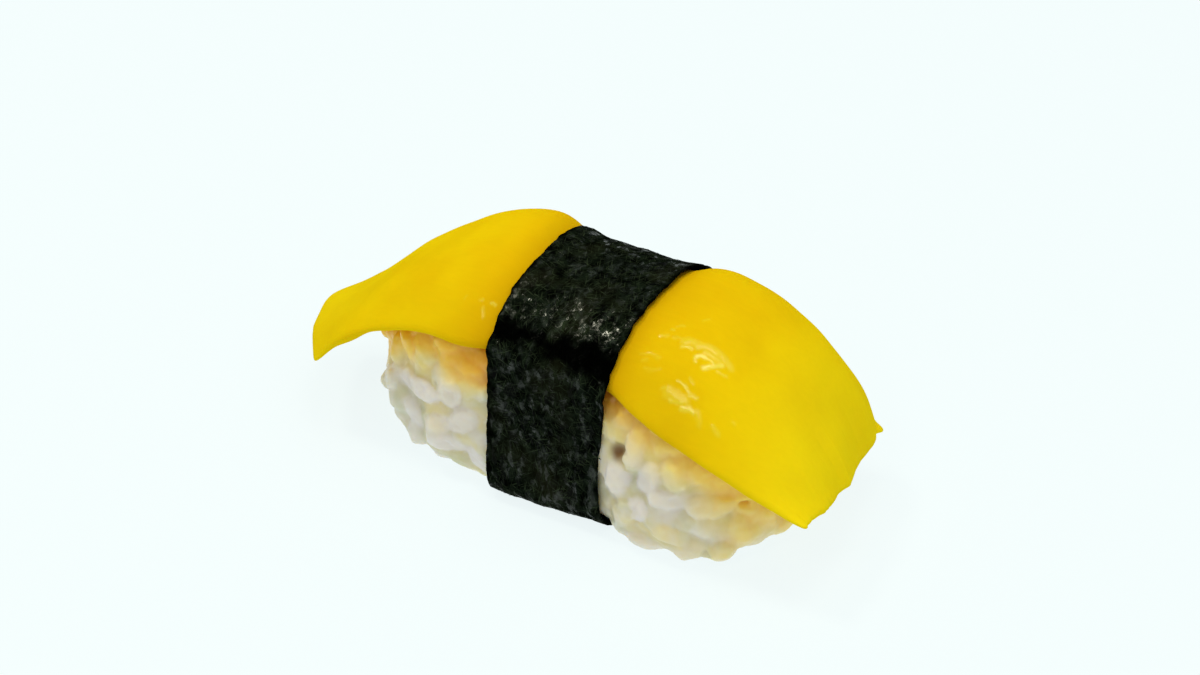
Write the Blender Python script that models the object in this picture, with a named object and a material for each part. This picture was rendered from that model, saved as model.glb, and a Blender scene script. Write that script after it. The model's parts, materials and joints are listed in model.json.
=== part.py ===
"""Nigiri sushi: a loaf of pressed rice, a yellow slice laid over it and a band of nori round both.

The long axis runs along X, the shown side faces -Y and Z is up. The piece stands on the flat
underside of its rice, and its origin is on the floor under the middle of its box. The sizes
below are in millimetres, and new_object turns them to metres.
"""

import math
import random
from collections import namedtuple

import bmesh
import bpy
import numpy as np
from mathutils import Matrix, Vector
from mathutils.bvhtree import BVHTree
from mathutils.kdtree import KDTree

MM = 0.001
TOUCH_GAP = 0.32  # left between two pieces that touch, so that no two solids overlap

# Yellow slice: near edge, crown and far edge at each station, from the left end to the right end.
SLICE_STATIONS = (
    ((-33.7, -12.5, 10.3), (-38.9, -4.2, 10.2), (-40.2, 3.0, 9.1)),
    ((-29.8, -13.0, 14.4), (-33.0, -3.0, 14.7), (-35.2, 6.4, 11.2)),
    ((-25.0, -13.5, 17.9), (-26.0, -1.2, 21.4), (-28.0, 10.0, 16.4)),
    ((-17.8, -13.8, 20.4), (-18.0, 0.0, 26.5), (-18.8, 12.6, 20.6)),
    ((-11.8, -13.8, 20.6), (-11.4, 0.0, 28.4), (-11.6, 13.2, 22.6)),
    ((-7.2, -12.6, 20.6), (-7.0, 0.0, 26.3), (-7.2, 12.6, 21.2)),
    ((0.0, -12.5, 21.5), (0.0, 0.0, 26.2), (0.0, 12.6, 21.2)),
    ((7.5, -12.8, 20.6), (7.2, 0.0, 26.3), (7.2, 12.7, 21.0)),
    ((12.0, -14.4, 19.3), (11.5, 0.0, 27.6), (11.5, 13.3, 21.4)),
    ((18.6, -15.0, 17.0), (19.0, 0.0, 26.1), (18.4, 13.7, 19.4)),
    ((25.5, -15.0, 14.9), (26.0, -0.4, 21.1), (24.6, 13.7, 15.4)),
    ((30.6, -14.6, 13.2), (31.0, -0.8, 14.9), (28.9, 13.5, 11.2)),
    ((34.7, -14.0, 12.0), (33.5, -1.0, 9.9), (31.0, 13.4, 7.4)),
)
SLICE_STEPS_LONG = 38
SLICE_STEPS_WIDE = 14
SLICE_ARCH_POWER = 3.0  # 2 is a round arch, and more gives a flatter crown with steeper sides
SLICE_THICK = 4.4  # along the crown
SLICE_EDGE_THICK = 1.3  # along both long edges
SLICE_THIN_POWER = 2.5  # how late the slice thins out towards a long edge
SLICE_TAPER_START = 0.70  # share of the half length where it starts to thin out towards its ends
SLICE_TAPER_POWER = 1.5
SLICE_END_SHARE = 0.34  # share of the thickness that is left at either end

# Rice loaf without its outer grains. Each end has its reach from the nori's middle and powers that
# say how blunt it is in plan and along its top. Its underside curls up by lift, from curl_start as
# a share of the reach, and a higher curl_power makes that curl set in later.
LoafEnd = namedtuple("LoafEnd", "reach plan_power top_power lift curl_start curl_power")
LEFT_END = LoafEnd(28.8, plan_power=3.2, top_power=2.6, lift=3.8, curl_start=0.2, curl_power=1.0)
RIGHT_END = LoafEnd(28.0, plan_power=4.6, top_power=5.0, lift=1.4, curl_start=0.45, curl_power=1.8)
LOAF_NEAR = 12.7
LOAF_FAR = 12.5
LOAF_BULGE = 1.5  # the near side swells between the nori and the right end
LOAF_BULGE_AT = 18.5
LOAF_BULGE_REACH = 7.0
LOAF_MIDDLE_HEIGHT = 8.5  # height of its widest level
LOAF_LOWER_POWER = 7.5  # high powers give upright sides and tight corners
LOAF_LOWER_POWER_BANDED = (18.0, 9.0)  # at the nori's left and right edge, which it pulls squarer
LOAF_UPPER_POWER = 3.6
LOAF_UNDER_POWER = 6.0  # how late the lower half closes towards an end
LOAF_UNDER_ROUNDING = 0.4  # and how roundly
LOAF_TOP = 26.0  # before the slice presses its top down
LOAF_END_RINGS = 11
LOAF_MIDDLE_RINGS = 7
LOAF_RING_POINTS = 40
ROOF_GAP = 0.65  # left over the loaf, whose facets rise a little between their corners
BASE_SINK = 0.6  # modelled below the floor, then cut off flat

# Nori band, which runs under the loaf too.
BAND_LEFT = -7.9
BAND_RIGHT = 8.2
BAND_WAIST = 0.9  # the right edge steps in this far down the sides
BAND_WAIST_AT = 10.0
BAND_WAIST_REACH = 5.5
BAND_THICK = 0.4
BAND_AXIS_HEIGHT = 12.0
BAND_STEPS_ROUND = 76
BAND_STEPS_WIDE = 6
BAND_LOOK_BESIDE = 0.35  # the band clears what lies this far to either side
BAND_ROOM_UNDER = 1.4  # the loaf's underside is raised this far to let the band through
BAND_ROOM_BESIDE = 0.5  # and this far beyond the band's edges
BAND_ROOM_SLOPE = 0.8  # length over which that raise fades out beside the band

# Grains of rice pressed into the loaf's outside.
GRAIN_SEED = 13
GRAIN_TRIES = 4000
GRAIN_COUNT = 210
GRAIN_LENGTH = (4.9, 6.4)
GRAIN_WIDTH = (2.8, 3.5)
GRAIN_SPACING = 2.8
GRAIN_DEPTH = (-0.6, 0.2)  # height of a grain's middle over the loaf's skin
GRAIN_TILT = 16.0  # degrees out of the skin
GRAIN_TURNS = 10  # ways tried to lay a grain that would touch the slice or the nori
GRAIN_ROOM = 0.38  # kept between a grain and the slice or the nori
GRAIN_BASE_HEIGHT = 0.5  # none on the flat base below this
GRAIN_BASE_FACING = -0.8  # where the skin's normal points further down than this
GRAIN_SIDES = 6
GRAIN_RINGS = 2
GRAIN_BLUNT_POWER = 0.7  # below 1 is blunter than an ellipsoid


# ---------------------------------------------------------------- helpers


def clear_scene():
    """Take every object out of the scene."""
    for old in list(bpy.data.objects):
        bpy.data.objects.remove(old, do_unlink=True)


def food_material(name, colour, roughness):
    """Return a Principled material of one linear colour."""
    material = bpy.data.materials.new(name)
    material.use_nodes = True
    shader = material.node_tree.nodes["Principled BSDF"]
    shader.inputs["Base Color"].default_value = (*colour, 1.0)
    shader.inputs["Roughness"].default_value = roughness
    shader.inputs["Metallic"].default_value = 0.0
    return material


def new_object(name, points, faces, material=None, collection=None):
    """Make a smooth mesh object from points in millimetres."""
    mesh = bpy.data.meshes.new(name)
    mesh.from_pydata([tuple(MM * float(value) for value in point) for point in points], [], faces)
    mesh.update()
    mesh.shade_smooth()
    if material:
        mesh.materials.append(material)
    made = bpy.data.objects.new(name, mesh)
    (collection or bpy.context.scene.collection).objects.link(made)
    return made


def skin_tree(points, faces):
    """Return a search tree of a skin in millimetres."""
    return BVHTree.FromPolygons([Vector(point) for point in points], faces)


def corner_tree(shells):
    """Return a search tree of all the corners of some shells, each given as points and faces."""
    corners = [point for points, _ in shells for point in points]
    tree = KDTree(len(corners))
    for index, corner in enumerate(corners):
        tree.insert(Vector(corner), index)
    tree.balance()
    return tree


def spline(points, steps):
    """Return steps + 1 points on a smooth curve through all the given points."""
    points = np.asarray(points, dtype=float)
    last = len(points) - 1
    padded = np.vstack([2 * points[0] - points[1], points, 2 * points[-1] - points[-2]])
    place = np.linspace(0, last, steps + 1)
    index = np.minimum(place.astype(int), last - 1)
    t = (place - index)[:, None]
    a, b, c, d = (padded[index + shift] for shift in range(4))
    square = (2 * a - 5 * b + 4 * c - d) * t**2
    cubic = (3 * b - a - 3 * c + d) * t**3
    return (2 * b + (c - a) * t + square + cubic) / 2


def superellipse(angles, power):
    """Return the cosine and sine sides of a superellipse of half size 1."""
    across = np.sign(np.cos(angles)) * np.abs(np.cos(angles)) ** (2 / power)
    up = np.sign(np.sin(angles)) * np.abs(np.sin(angles)) ** (2 / power)
    return across, up


def ring_faces(rings, count, closed_ends):
    """Return faces that join rings of count points, with flat caps where closed_ends is set."""
    faces = []
    for ring in range(rings - 1):
        for i in range(count):
            j = (i + 1) % count
            low, high = ring * count, (ring + 1) * count
            faces.append((low + i, low + j, high + j, high + i))
    if closed_ends:
        faces.append(tuple(reversed(range(count))))
        faces.append(tuple((rings - 1) * count + i for i in range(count)))
    return faces


# ---------------------------------------------------------------- yellow slice


def slice_surfaces():
    """Return the slice's upper and lower surface as grids of points, long steps first."""
    rails = [[row[rail] for row in SLICE_STATIONS] for rail in range(3)]
    near, crown, far = (spline(rail, SLICE_STEPS_LONG) for rail in rails)
    across = np.linspace(-1, 1, SLICE_STEPS_WIDE + 1)
    along = np.linspace(-1, 1, SLICE_STEPS_LONG + 1)
    arch = 1 - np.abs(across) ** SLICE_ARCH_POWER
    to_far = ((1 + across) / 2)[None, :, None]
    chord = near[:, None] * (1 - to_far) + far[:, None] * to_far
    top = chord + (crown - (near + far) / 2)[:, None] * arch[None, :, None]
    normal = np.cross(np.gradient(top, axis=0), np.gradient(top, axis=1))
    normal /= np.linalg.norm(normal, axis=-1, keepdims=True)
    fullness = 1 - np.abs(across) ** SLICE_THIN_POWER
    body = SLICE_EDGE_THICK + (SLICE_THICK - SLICE_EDGE_THICK) * fullness
    past = np.clip((np.abs(along) - SLICE_TAPER_START) / (1 - SLICE_TAPER_START), 0, 1)
    taper = past**SLICE_TAPER_POWER
    thick = body[None, :] * (1 - (1 - SLICE_END_SHARE) * taper[:, None])
    return top, top - normal * thick[..., None]


def grid_faces(rows, columns, start, flip):
    """Return the quads of a grid of points that begins at index start."""
    faces = []
    for i in range(rows - 1):
        for j in range(columns - 1):
            a = start + i * columns + j
            quad = (a, a + columns, a + columns + 1, a + 1)
            faces.append(tuple(reversed(quad)) if flip else quad)
    return faces


def slice_shell():
    """Return points and faces of the closed slice."""
    top, under = slice_surfaces()
    rows, columns = top.shape[:2]
    size = rows * columns
    points = np.concatenate([top.reshape(-1, 3), under.reshape(-1, 3)])
    faces = grid_faces(rows, columns, 0, False) + grid_faces(rows, columns, size, True)
    rim = [i * columns for i in range(rows)]
    rim += [(rows - 1) * columns + j for j in range(1, columns)]
    rim += [i * columns + columns - 1 for i in range(rows - 2, -1, -1)]
    rim += [j for j in range(columns - 2, 0, -1)]
    for a, b in zip(rim, rim[1:] + rim[:1]):
        faces.append((b, a, a + size, b + size))
    return points, faces


# ---------------------------------------------------------------- rice loaf


def smooth_step(value):
    """Return 0 below 0, 1 above 1 and a soft ramp between."""
    value = min(max(value, 0.0), 1.0)
    return value * value * (3 - 2 * value)


def band_room(x):
    """Return 1 under the nori, fading to 0 beside it."""
    outside = max(BAND_LEFT - BAND_ROOM_BESIDE - x, x - BAND_RIGHT - BAND_ROOM_BESIDE)
    return 1 - smooth_step(outside / BAND_ROOM_SLOPE)


def loaf_ring(x, roof):
    """Return the loaf's outline across X, with its top kept under the slice."""
    end = LEFT_END if x < 0 else RIGHT_END
    share = min(abs(x) / end.reach, 1.0)
    fullness = math.sqrt(1 - share**end.plan_power)
    bulge = LOAF_BULGE * math.exp(-(((x - LOAF_BULGE_AT) / LOAF_BULGE_REACH) ** 2))
    angles = np.linspace(0, 2 * math.pi, LOAF_RING_POINTS, endpoint=False)
    banded = np.interp(x, (BAND_LEFT, BAND_RIGHT), LOAF_LOWER_POWER_BANDED)
    lower_power = LOAF_LOWER_POWER + (banded - LOAF_LOWER_POWER) * band_room(x)
    across_low, up_low = superellipse(angles, lower_power)
    across_high, up_high = superellipse(angles, LOAF_UPPER_POWER)
    upper = np.sin(angles) > 0
    width = np.where(np.cos(angles) < 0, LOAF_NEAR + bulge, LOAF_FAR) * fullness
    curl = max(0.0, (share - end.curl_start) / (1 - end.curl_start)) ** end.curl_power
    floor = end.lift * curl - BASE_SINK + (BASE_SINK + BAND_ROOM_UNDER) * band_room(x)
    drop = (LOAF_MIDDLE_HEIGHT - floor) * (1 - share**LOAF_UNDER_POWER) ** LOAF_UNDER_ROUNDING
    rise = (LOAF_TOP - LOAF_MIDDLE_HEIGHT) * math.sqrt(1 - share**end.top_power)
    ys = np.where(upper, across_high, across_low) * width
    zs = LOAF_MIDDLE_HEIGHT + np.where(upper, rise * up_high, drop * up_low)
    ring = []
    for y, z in zip(ys, zs):
        hit = roof.ray_cast(Vector((x, y, -1.0)), Vector((0.0, 0.0, 1.0)))[0]
        ring.append((x, y, min(z, hit.z - ROOF_GAP) if hit else z))
    return ring


def loaf_stations():
    """Return X of the loaf's rings: close together at the poles and beside the nori."""
    left = BAND_LEFT - BAND_ROOM_BESIDE
    right = BAND_RIGHT + BAND_ROOM_BESIDE
    eased = np.sin(np.linspace(0, math.pi / 2, LOAF_END_RINGS + 2)[1:-1])
    left_end = left - BAND_ROOM_SLOPE - (LEFT_END.reach + left - BAND_ROOM_SLOPE) * eased
    right_end = right + BAND_ROOM_SLOPE + (RIGHT_END.reach - right - BAND_ROOM_SLOPE) * eased
    middle = np.linspace(left, right, LOAF_MIDDLE_RINGS)
    edges = ([left - BAND_ROOM_SLOPE], middle, [right + BAND_ROOM_SLOPE])
    return np.concatenate([left_end[::-1], *edges, right_end])


def loaf_shell(roof):
    """Return points and faces of the loaf, from its left end to its right end."""
    stations = loaf_stations()
    points = [point for x in stations for point in loaf_ring(float(x), roof)]
    return points, ring_faces(len(stations), LOAF_RING_POINTS, True)


# ---------------------------------------------------------------- nori band


def wrap_radius(x, angle, contents):
    """Return how far from the band's axis the slice or the loaf reaches round one angle."""
    far = 60.0
    reach = 0.0
    for sway in (-1.0, -0.5, 0.0, 0.5, 1.0):
        turned = angle + sway * 2 * math.pi / BAND_STEPS_ROUND
        out = Vector((0.0, math.cos(turned), math.sin(turned)))
        for shift in (-BAND_LOOK_BESIDE, BAND_LOOK_BESIDE):
            start = Vector((x + shift, 0.0, BAND_AXIS_HEIGHT)) + out * far
            hits = [tree.ray_cast(start, -out)[3] for tree in contents]
            reach = max(reach, far - min(hit for hit in hits if hit is not None))
    return reach


def band_edge(share, height):
    """Return X at a share of the band's width; its right edge steps in down the sides."""
    waist = BAND_WAIST * math.exp(-(((height - BAND_WAIST_AT) / BAND_WAIST_REACH) ** 2))
    return BAND_LEFT + (BAND_RIGHT - waist - BAND_LEFT) * share


def band_surfaces(contents):
    """Return the band's inner and outer surface as rings of points, one ring a step across."""
    angles = np.linspace(0, 2 * math.pi, BAND_STEPS_ROUND, endpoint=False)
    inner = []
    outer = []
    for step in range(BAND_STEPS_WIDE + 1):
        share = step / BAND_STEPS_WIDE
        heights = BAND_AXIS_HEIGHT + LOAF_NEAR * np.sin(angles)
        xs = [band_edge(share, height) for height in heights]
        reach = np.array([wrap_radius(x, angle, contents) for x, angle in zip(xs, angles)])
        eased = (np.roll(reach, 1) + 2 * reach + np.roll(reach, -1)) / 4
        radii = np.maximum(eased, reach) + TOUCH_GAP
        for ring, sizes in ((inner, radii), (outer, radii + BAND_THICK)):
            y = sizes * np.cos(angles)
            z = BAND_AXIS_HEIGHT + sizes * np.sin(angles)
            ring.append(list(zip(xs, y, z)))
    return inner, outer


def band_shell(contents):
    """Return points and faces of the closed band."""
    inner, outer = band_surfaces(contents)
    count = BAND_STEPS_ROUND
    rings = outer + inner[::-1]
    points = [point for ring in rings for point in ring]
    faces = ring_faces(len(rings), count, False)
    last = (len(rings) - 1) * count
    for i in range(count):
        j = (i + 1) % count
        faces.append((last + i, last + j, j, i))
    return points, faces


# ---------------------------------------------------------------- grains


def grain_shell(length, width):
    """Return points and faces of one blunt grain along X."""
    points = [(-length / 2, 0.0, 0.0)]
    for ring in range(GRAIN_RINGS):
        turn = math.pi * (ring + 1) / (GRAIN_RINGS + 1)
        place = -length / 2 * math.cos(turn)
        radius = width / 2 * math.sin(turn) ** GRAIN_BLUNT_POWER
        for side in range(GRAIN_SIDES):
            angle = 2 * math.pi * side / GRAIN_SIDES
            points.append((place, radius * math.cos(angle), radius * math.sin(angle)))
    points.append((length / 2, 0.0, 0.0))
    faces = []
    for side in range(GRAIN_SIDES):
        after = (side + 1) % GRAIN_SIDES
        faces.append((0, 1 + after, 1 + side))
        for ring in range(GRAIN_RINGS - 1):
            low = 1 + ring * GRAIN_SIDES
            high = low + GRAIN_SIDES
            faces.append((low + side, low + after, high + after, high + side))
        final = 1 + (GRAIN_RINGS - 1) * GRAIN_SIDES
        faces.append((final + side, final + after, len(points) - 1))
    return points, faces


def skin_places(points, faces, draw):
    """Yield seeded places spread over a skin by area, each with its outward normal."""
    corners = [[Vector(points[i]) for i in face] for face in faces]
    normals = [(face[2] - face[0]).cross(face[3 % len(face)] - face[1]) for face in corners]
    areas = [normal.length / 2 for normal in normals]
    for _ in range(GRAIN_TRIES):
        index = draw.choices(range(len(corners)), cum_weights=list(np.cumsum(areas)))[0]
        face = corners[index]
        u, v = draw.random(), draw.random()
        low = face[0].lerp(face[1], u)
        high = face[-1].lerp(face[2], u)
        yield low.lerp(high, v), normals[index].normalized()


def lay_grain(place, normal, neighbours, corners, draw):
    """Return points and faces of a grain at a place, or None where it would touch a neighbour."""
    stand = normal.to_track_quat("Z", "Y").to_matrix()
    middle = place + normal * draw.uniform(*GRAIN_DEPTH)
    close = [found[0] for found in corners.find_range(middle, GRAIN_LENGTH[1])]
    for _ in range(GRAIN_TURNS):
        turn = draw.uniform(0, math.pi)
        tilt = math.radians(draw.uniform(-GRAIN_TILT, GRAIN_TILT))
        lie = stand @ Matrix.Rotation(turn, 3, "Z") @ Matrix.Rotation(tilt, 3, "Y")
        shell, sides = grain_shell(draw.uniform(*GRAIN_LENGTH), draw.uniform(*GRAIN_WIDTH))
        shell = [middle + lie @ Vector(corner) for corner in shell]
        skin = skin_tree(shell, sides)
        crosses = any(skin.overlap(tree) for tree in neighbours)
        tests = shell + [sum((shell[i] for i in side), Vector()) / len(side) for side in sides]
        tests += [(shell[side[0]] + shell[side[-1]]) / 2 for side in sides]
        room = min(tree.find_nearest(test)[3] for test in tests for tree in neighbours)
        clear = all(skin.find_nearest(corner)[3] > GRAIN_ROOM for corner in close)
        if room > GRAIN_ROOM and clear and not crosses:
            return shell, sides
    return None


def seat_grains(points, faces, neighbours, corners, material):
    """Lay grains on the loaf, clear of the slice and the nori, and return their collection."""
    draw = random.Random(GRAIN_SEED)
    grains = bpy.data.collections.new("grains")
    bpy.context.scene.collection.children.link(grains)
    placed = []
    for place, normal in skin_places(points, faces, draw):
        under = place.z < GRAIN_BASE_HEIGHT and normal.z < GRAIN_BASE_FACING
        if under or any((place - other).length < GRAIN_SPACING for other in placed):
            continue
        laid = lay_grain(place, normal, neighbours, corners, draw)
        if laid:
            placed.append(place)
            new_object(f"grain_{len(placed):03d}", *laid, material, grains)
        if len(placed) == GRAIN_COUNT:
            break
    return grains


def apply_boolean(target, operation, other=None, collection=None):
    """Join or cut target and keep the result as its plain mesh."""
    cut = target.modifiers.new("cut", "BOOLEAN")
    cut.operation = operation
    cut.solver = "MANIFOLD"
    if collection:
        cut.operand_type = "COLLECTION"
        cut.collection = collection
    else:
        cut.object = other
    evaluated = target.evaluated_get(bpy.context.evaluated_depsgraph_get())
    mesh = bpy.data.meshes.new_from_object(evaluated)
    target.modifiers.remove(cut)
    target.data = mesh


def keep_main_body(target):
    """Keep the largest closed body of a mesh, which drops scraps and fills sealed hollows."""
    mesh = bmesh.new()
    mesh.from_mesh(target.data)
    bmesh.ops.triangulate(mesh, faces=mesh.faces)
    left = set(mesh.faces)
    bodies = []
    while left:
        body = {left.pop()}
        edge_front = list(body)
        while edge_front:
            face = edge_front.pop()
            for edge in face.edges:
                for other in edge.link_faces:
                    if other in left:
                        left.remove(other)
                        body.add(other)
                        edge_front.append(other)
        bodies.append(body)
    bodies.sort(key=len)
    for body in bodies[:-1]:
        bmesh.ops.delete(mesh, geom=list(body), context="FACES")
    bmesh.ops.recalc_face_normals(mesh, faces=mesh.faces)
    mesh.to_mesh(target.data)
    mesh.free()


def rice_object(points, faces, neighbours, corners, material):
    """Make the loaf with its grains fused on and its base cut flat."""
    rice = new_object("rice", points, faces, material)
    grains = seat_grains(points, faces, neighbours, corners, material)
    apply_boolean(rice, "UNION", collection=grains)
    for grain in list(grains.objects):
        bpy.data.objects.remove(grain, do_unlink=True)
    bpy.data.collections.remove(grains)
    block = [(x, y, z) for x in (-60.0, 60.0) for y in (-40.0, 40.0) for z in (-20.0, 0.0)]
    sides = [(0, 1, 3, 2), (4, 6, 7, 5), (0, 4, 5, 1), (2, 3, 7, 6), (0, 2, 6, 4), (1, 5, 7, 3)]
    floor = new_object("floor_cut", block, sides)
    apply_boolean(rice, "DIFFERENCE", other=floor)
    bpy.data.objects.remove(floor, do_unlink=True)
    keep_main_body(rice)
    rice.data.shade_smooth()
    return rice


def centre_on_floor(pieces):
    """Move all the meshes so that their box stands on the origin."""
    corners = np.array([vertex.co[:] for piece in pieces for vertex in piece.data.vertices])
    low, high = corners.min(axis=0), corners.max(axis=0)
    shift = Vector((-(low[0] + high[0]) / 2, -(low[1] + high[1]) / 2, -low[2]))
    for piece in pieces:
        piece.data.transform(Matrix.Translation(shift))


def main():
    """Build the three pieces."""
    clear_scene()
    rice_white = food_material("steamed_rice", (0.68, 0.64, 0.49), 0.45)
    slice_yellow = food_material("yellow_slice", (0.80, 0.52, 0.004), 0.3)
    nori_black = food_material("toasted_nori", (0.008, 0.012, 0.008), 0.5)
    slice_points, slice_faces = slice_shell()
    roof = skin_tree(slice_points, slice_faces)
    loaf_points, loaf_faces = loaf_shell(roof)
    contents = (roof, skin_tree(loaf_points, loaf_faces))
    band_points, band_faces = band_shell(contents)
    neighbours = (roof, skin_tree(band_points, band_faces))
    corners = corner_tree(((slice_points, slice_faces), (band_points, band_faces)))
    pieces = [
        new_object("yellow_slice", slice_points, slice_faces, slice_yellow),
        new_object("nori_band", band_points, band_faces, nori_black),
        rice_object(loaf_points, loaf_faces, neighbours, corners, rice_white),
    ]
    centre_on_floor(pieces)


main()
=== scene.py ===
"""Looks of one nigiri sushi: pressed rice, a slice of pickled radish and a band of nori.

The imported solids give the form. Each is replaced here by a finished piece in the same place: the
slice and the nori follow their solids closely, and the rice is real grains fused over a core. The
sizes are in millimetres, and the meshes are in metres. The long axis is X, and the shown side
faces -Y.
"""

import json
import logging
import math
from dataclasses import dataclass
from enum import Enum
from typing import Any, Iterable, Sequence

import bmesh
import bpy
import numpy as np
from bpy.types import Material, Mesh, Node, NodeSocket, NodeTree, Object
from mathutils import Matrix, Vector, noise
from mathutils.bvhtree import BVHTree

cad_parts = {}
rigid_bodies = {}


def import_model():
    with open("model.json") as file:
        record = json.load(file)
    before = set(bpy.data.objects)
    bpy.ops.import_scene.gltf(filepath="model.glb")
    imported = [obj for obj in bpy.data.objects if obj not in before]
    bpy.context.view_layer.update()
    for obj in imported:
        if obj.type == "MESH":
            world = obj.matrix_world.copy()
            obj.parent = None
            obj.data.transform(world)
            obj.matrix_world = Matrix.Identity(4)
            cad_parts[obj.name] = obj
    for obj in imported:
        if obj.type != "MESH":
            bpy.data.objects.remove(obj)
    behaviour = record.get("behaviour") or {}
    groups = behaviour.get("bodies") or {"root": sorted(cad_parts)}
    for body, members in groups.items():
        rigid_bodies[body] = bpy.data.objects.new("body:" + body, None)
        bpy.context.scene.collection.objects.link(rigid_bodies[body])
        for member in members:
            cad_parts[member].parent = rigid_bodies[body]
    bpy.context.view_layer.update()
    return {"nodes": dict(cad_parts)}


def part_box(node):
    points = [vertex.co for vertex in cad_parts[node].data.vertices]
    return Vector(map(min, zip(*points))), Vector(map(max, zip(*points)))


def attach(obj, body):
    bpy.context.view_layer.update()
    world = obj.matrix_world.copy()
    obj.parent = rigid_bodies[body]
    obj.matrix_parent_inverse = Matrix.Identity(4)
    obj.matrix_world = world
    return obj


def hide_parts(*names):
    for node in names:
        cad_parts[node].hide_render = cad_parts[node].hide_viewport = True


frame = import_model()

LOG = logging.getLogger("nigiri")
MM = 0.001
BODY = "root"

# Smooth noise: how far a seed moves it, how much finer each layer is, and how strong it is.
WAVE_SHIFT = np.array([17.3, 5.1, 9.7])
WAVE_FINER = 2.1
WAVE_GAIN = 1.6
# A soft spot ends at this many times its reach.
SPOT_EDGE = 1.3
# A solid's triangles are joined where they lie this close, and paired up to this angle.
WELD = 0.001
PAIR_ANGLE = math.radians(60)


# ---------------------------------------------------------------- colours and nodes


def srgb(code: str) -> tuple[float, float, float, float]:
    """Turn an sRGB hex colour into a linear one.

    Args:
        code: The colour as #rrggbb.

    Returns:
        Linear red, green and blue, and an alpha of 1.
    """
    parts = (int(code[place : place + 2], 16) / 255 for place in (1, 3, 5))
    linear = (part / 12.92 if part <= 0.04045 else ((part + 0.055) / 1.055) ** 2.4 for part in parts)
    return (*linear, 1.0)


def per_mm(size: float) -> float:
    """Return a texture's scale, in metres, for a feature of this size in millimetres."""
    return 1.0 / (size * MM)


def feed(tree: NodeTree, node: Node, links: dict) -> None:
    """Feed a node's inputs.

    Args:
        tree: The node's tree.
        node: The node.
        links: For each input, by name or number, its value, or the socket or sockets that feed it.
    """
    for name, value in links.items():
        for source in value if isinstance(value, list) else [value]:
            if isinstance(source, NodeSocket):
                tree.links.new(source, node.inputs[name])
            else:
                node.inputs[name].default_value = source


def add_node(tree: NodeTree, kind: str, links: dict | None = None, **settings: Any) -> Node:
    """Add a node to a tree with its settings and links.

    Args:
        tree: The tree to add to.
        kind: The node's type name.
        links: What feeds its inputs, as feed takes it.
        settings: The node's own properties.

    Returns:
        The new node.
    """
    node = tree.nodes.new(kind)
    for name, value in settings.items():
        setattr(node, name, value)
    feed(tree, node, links or {})
    return node


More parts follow.
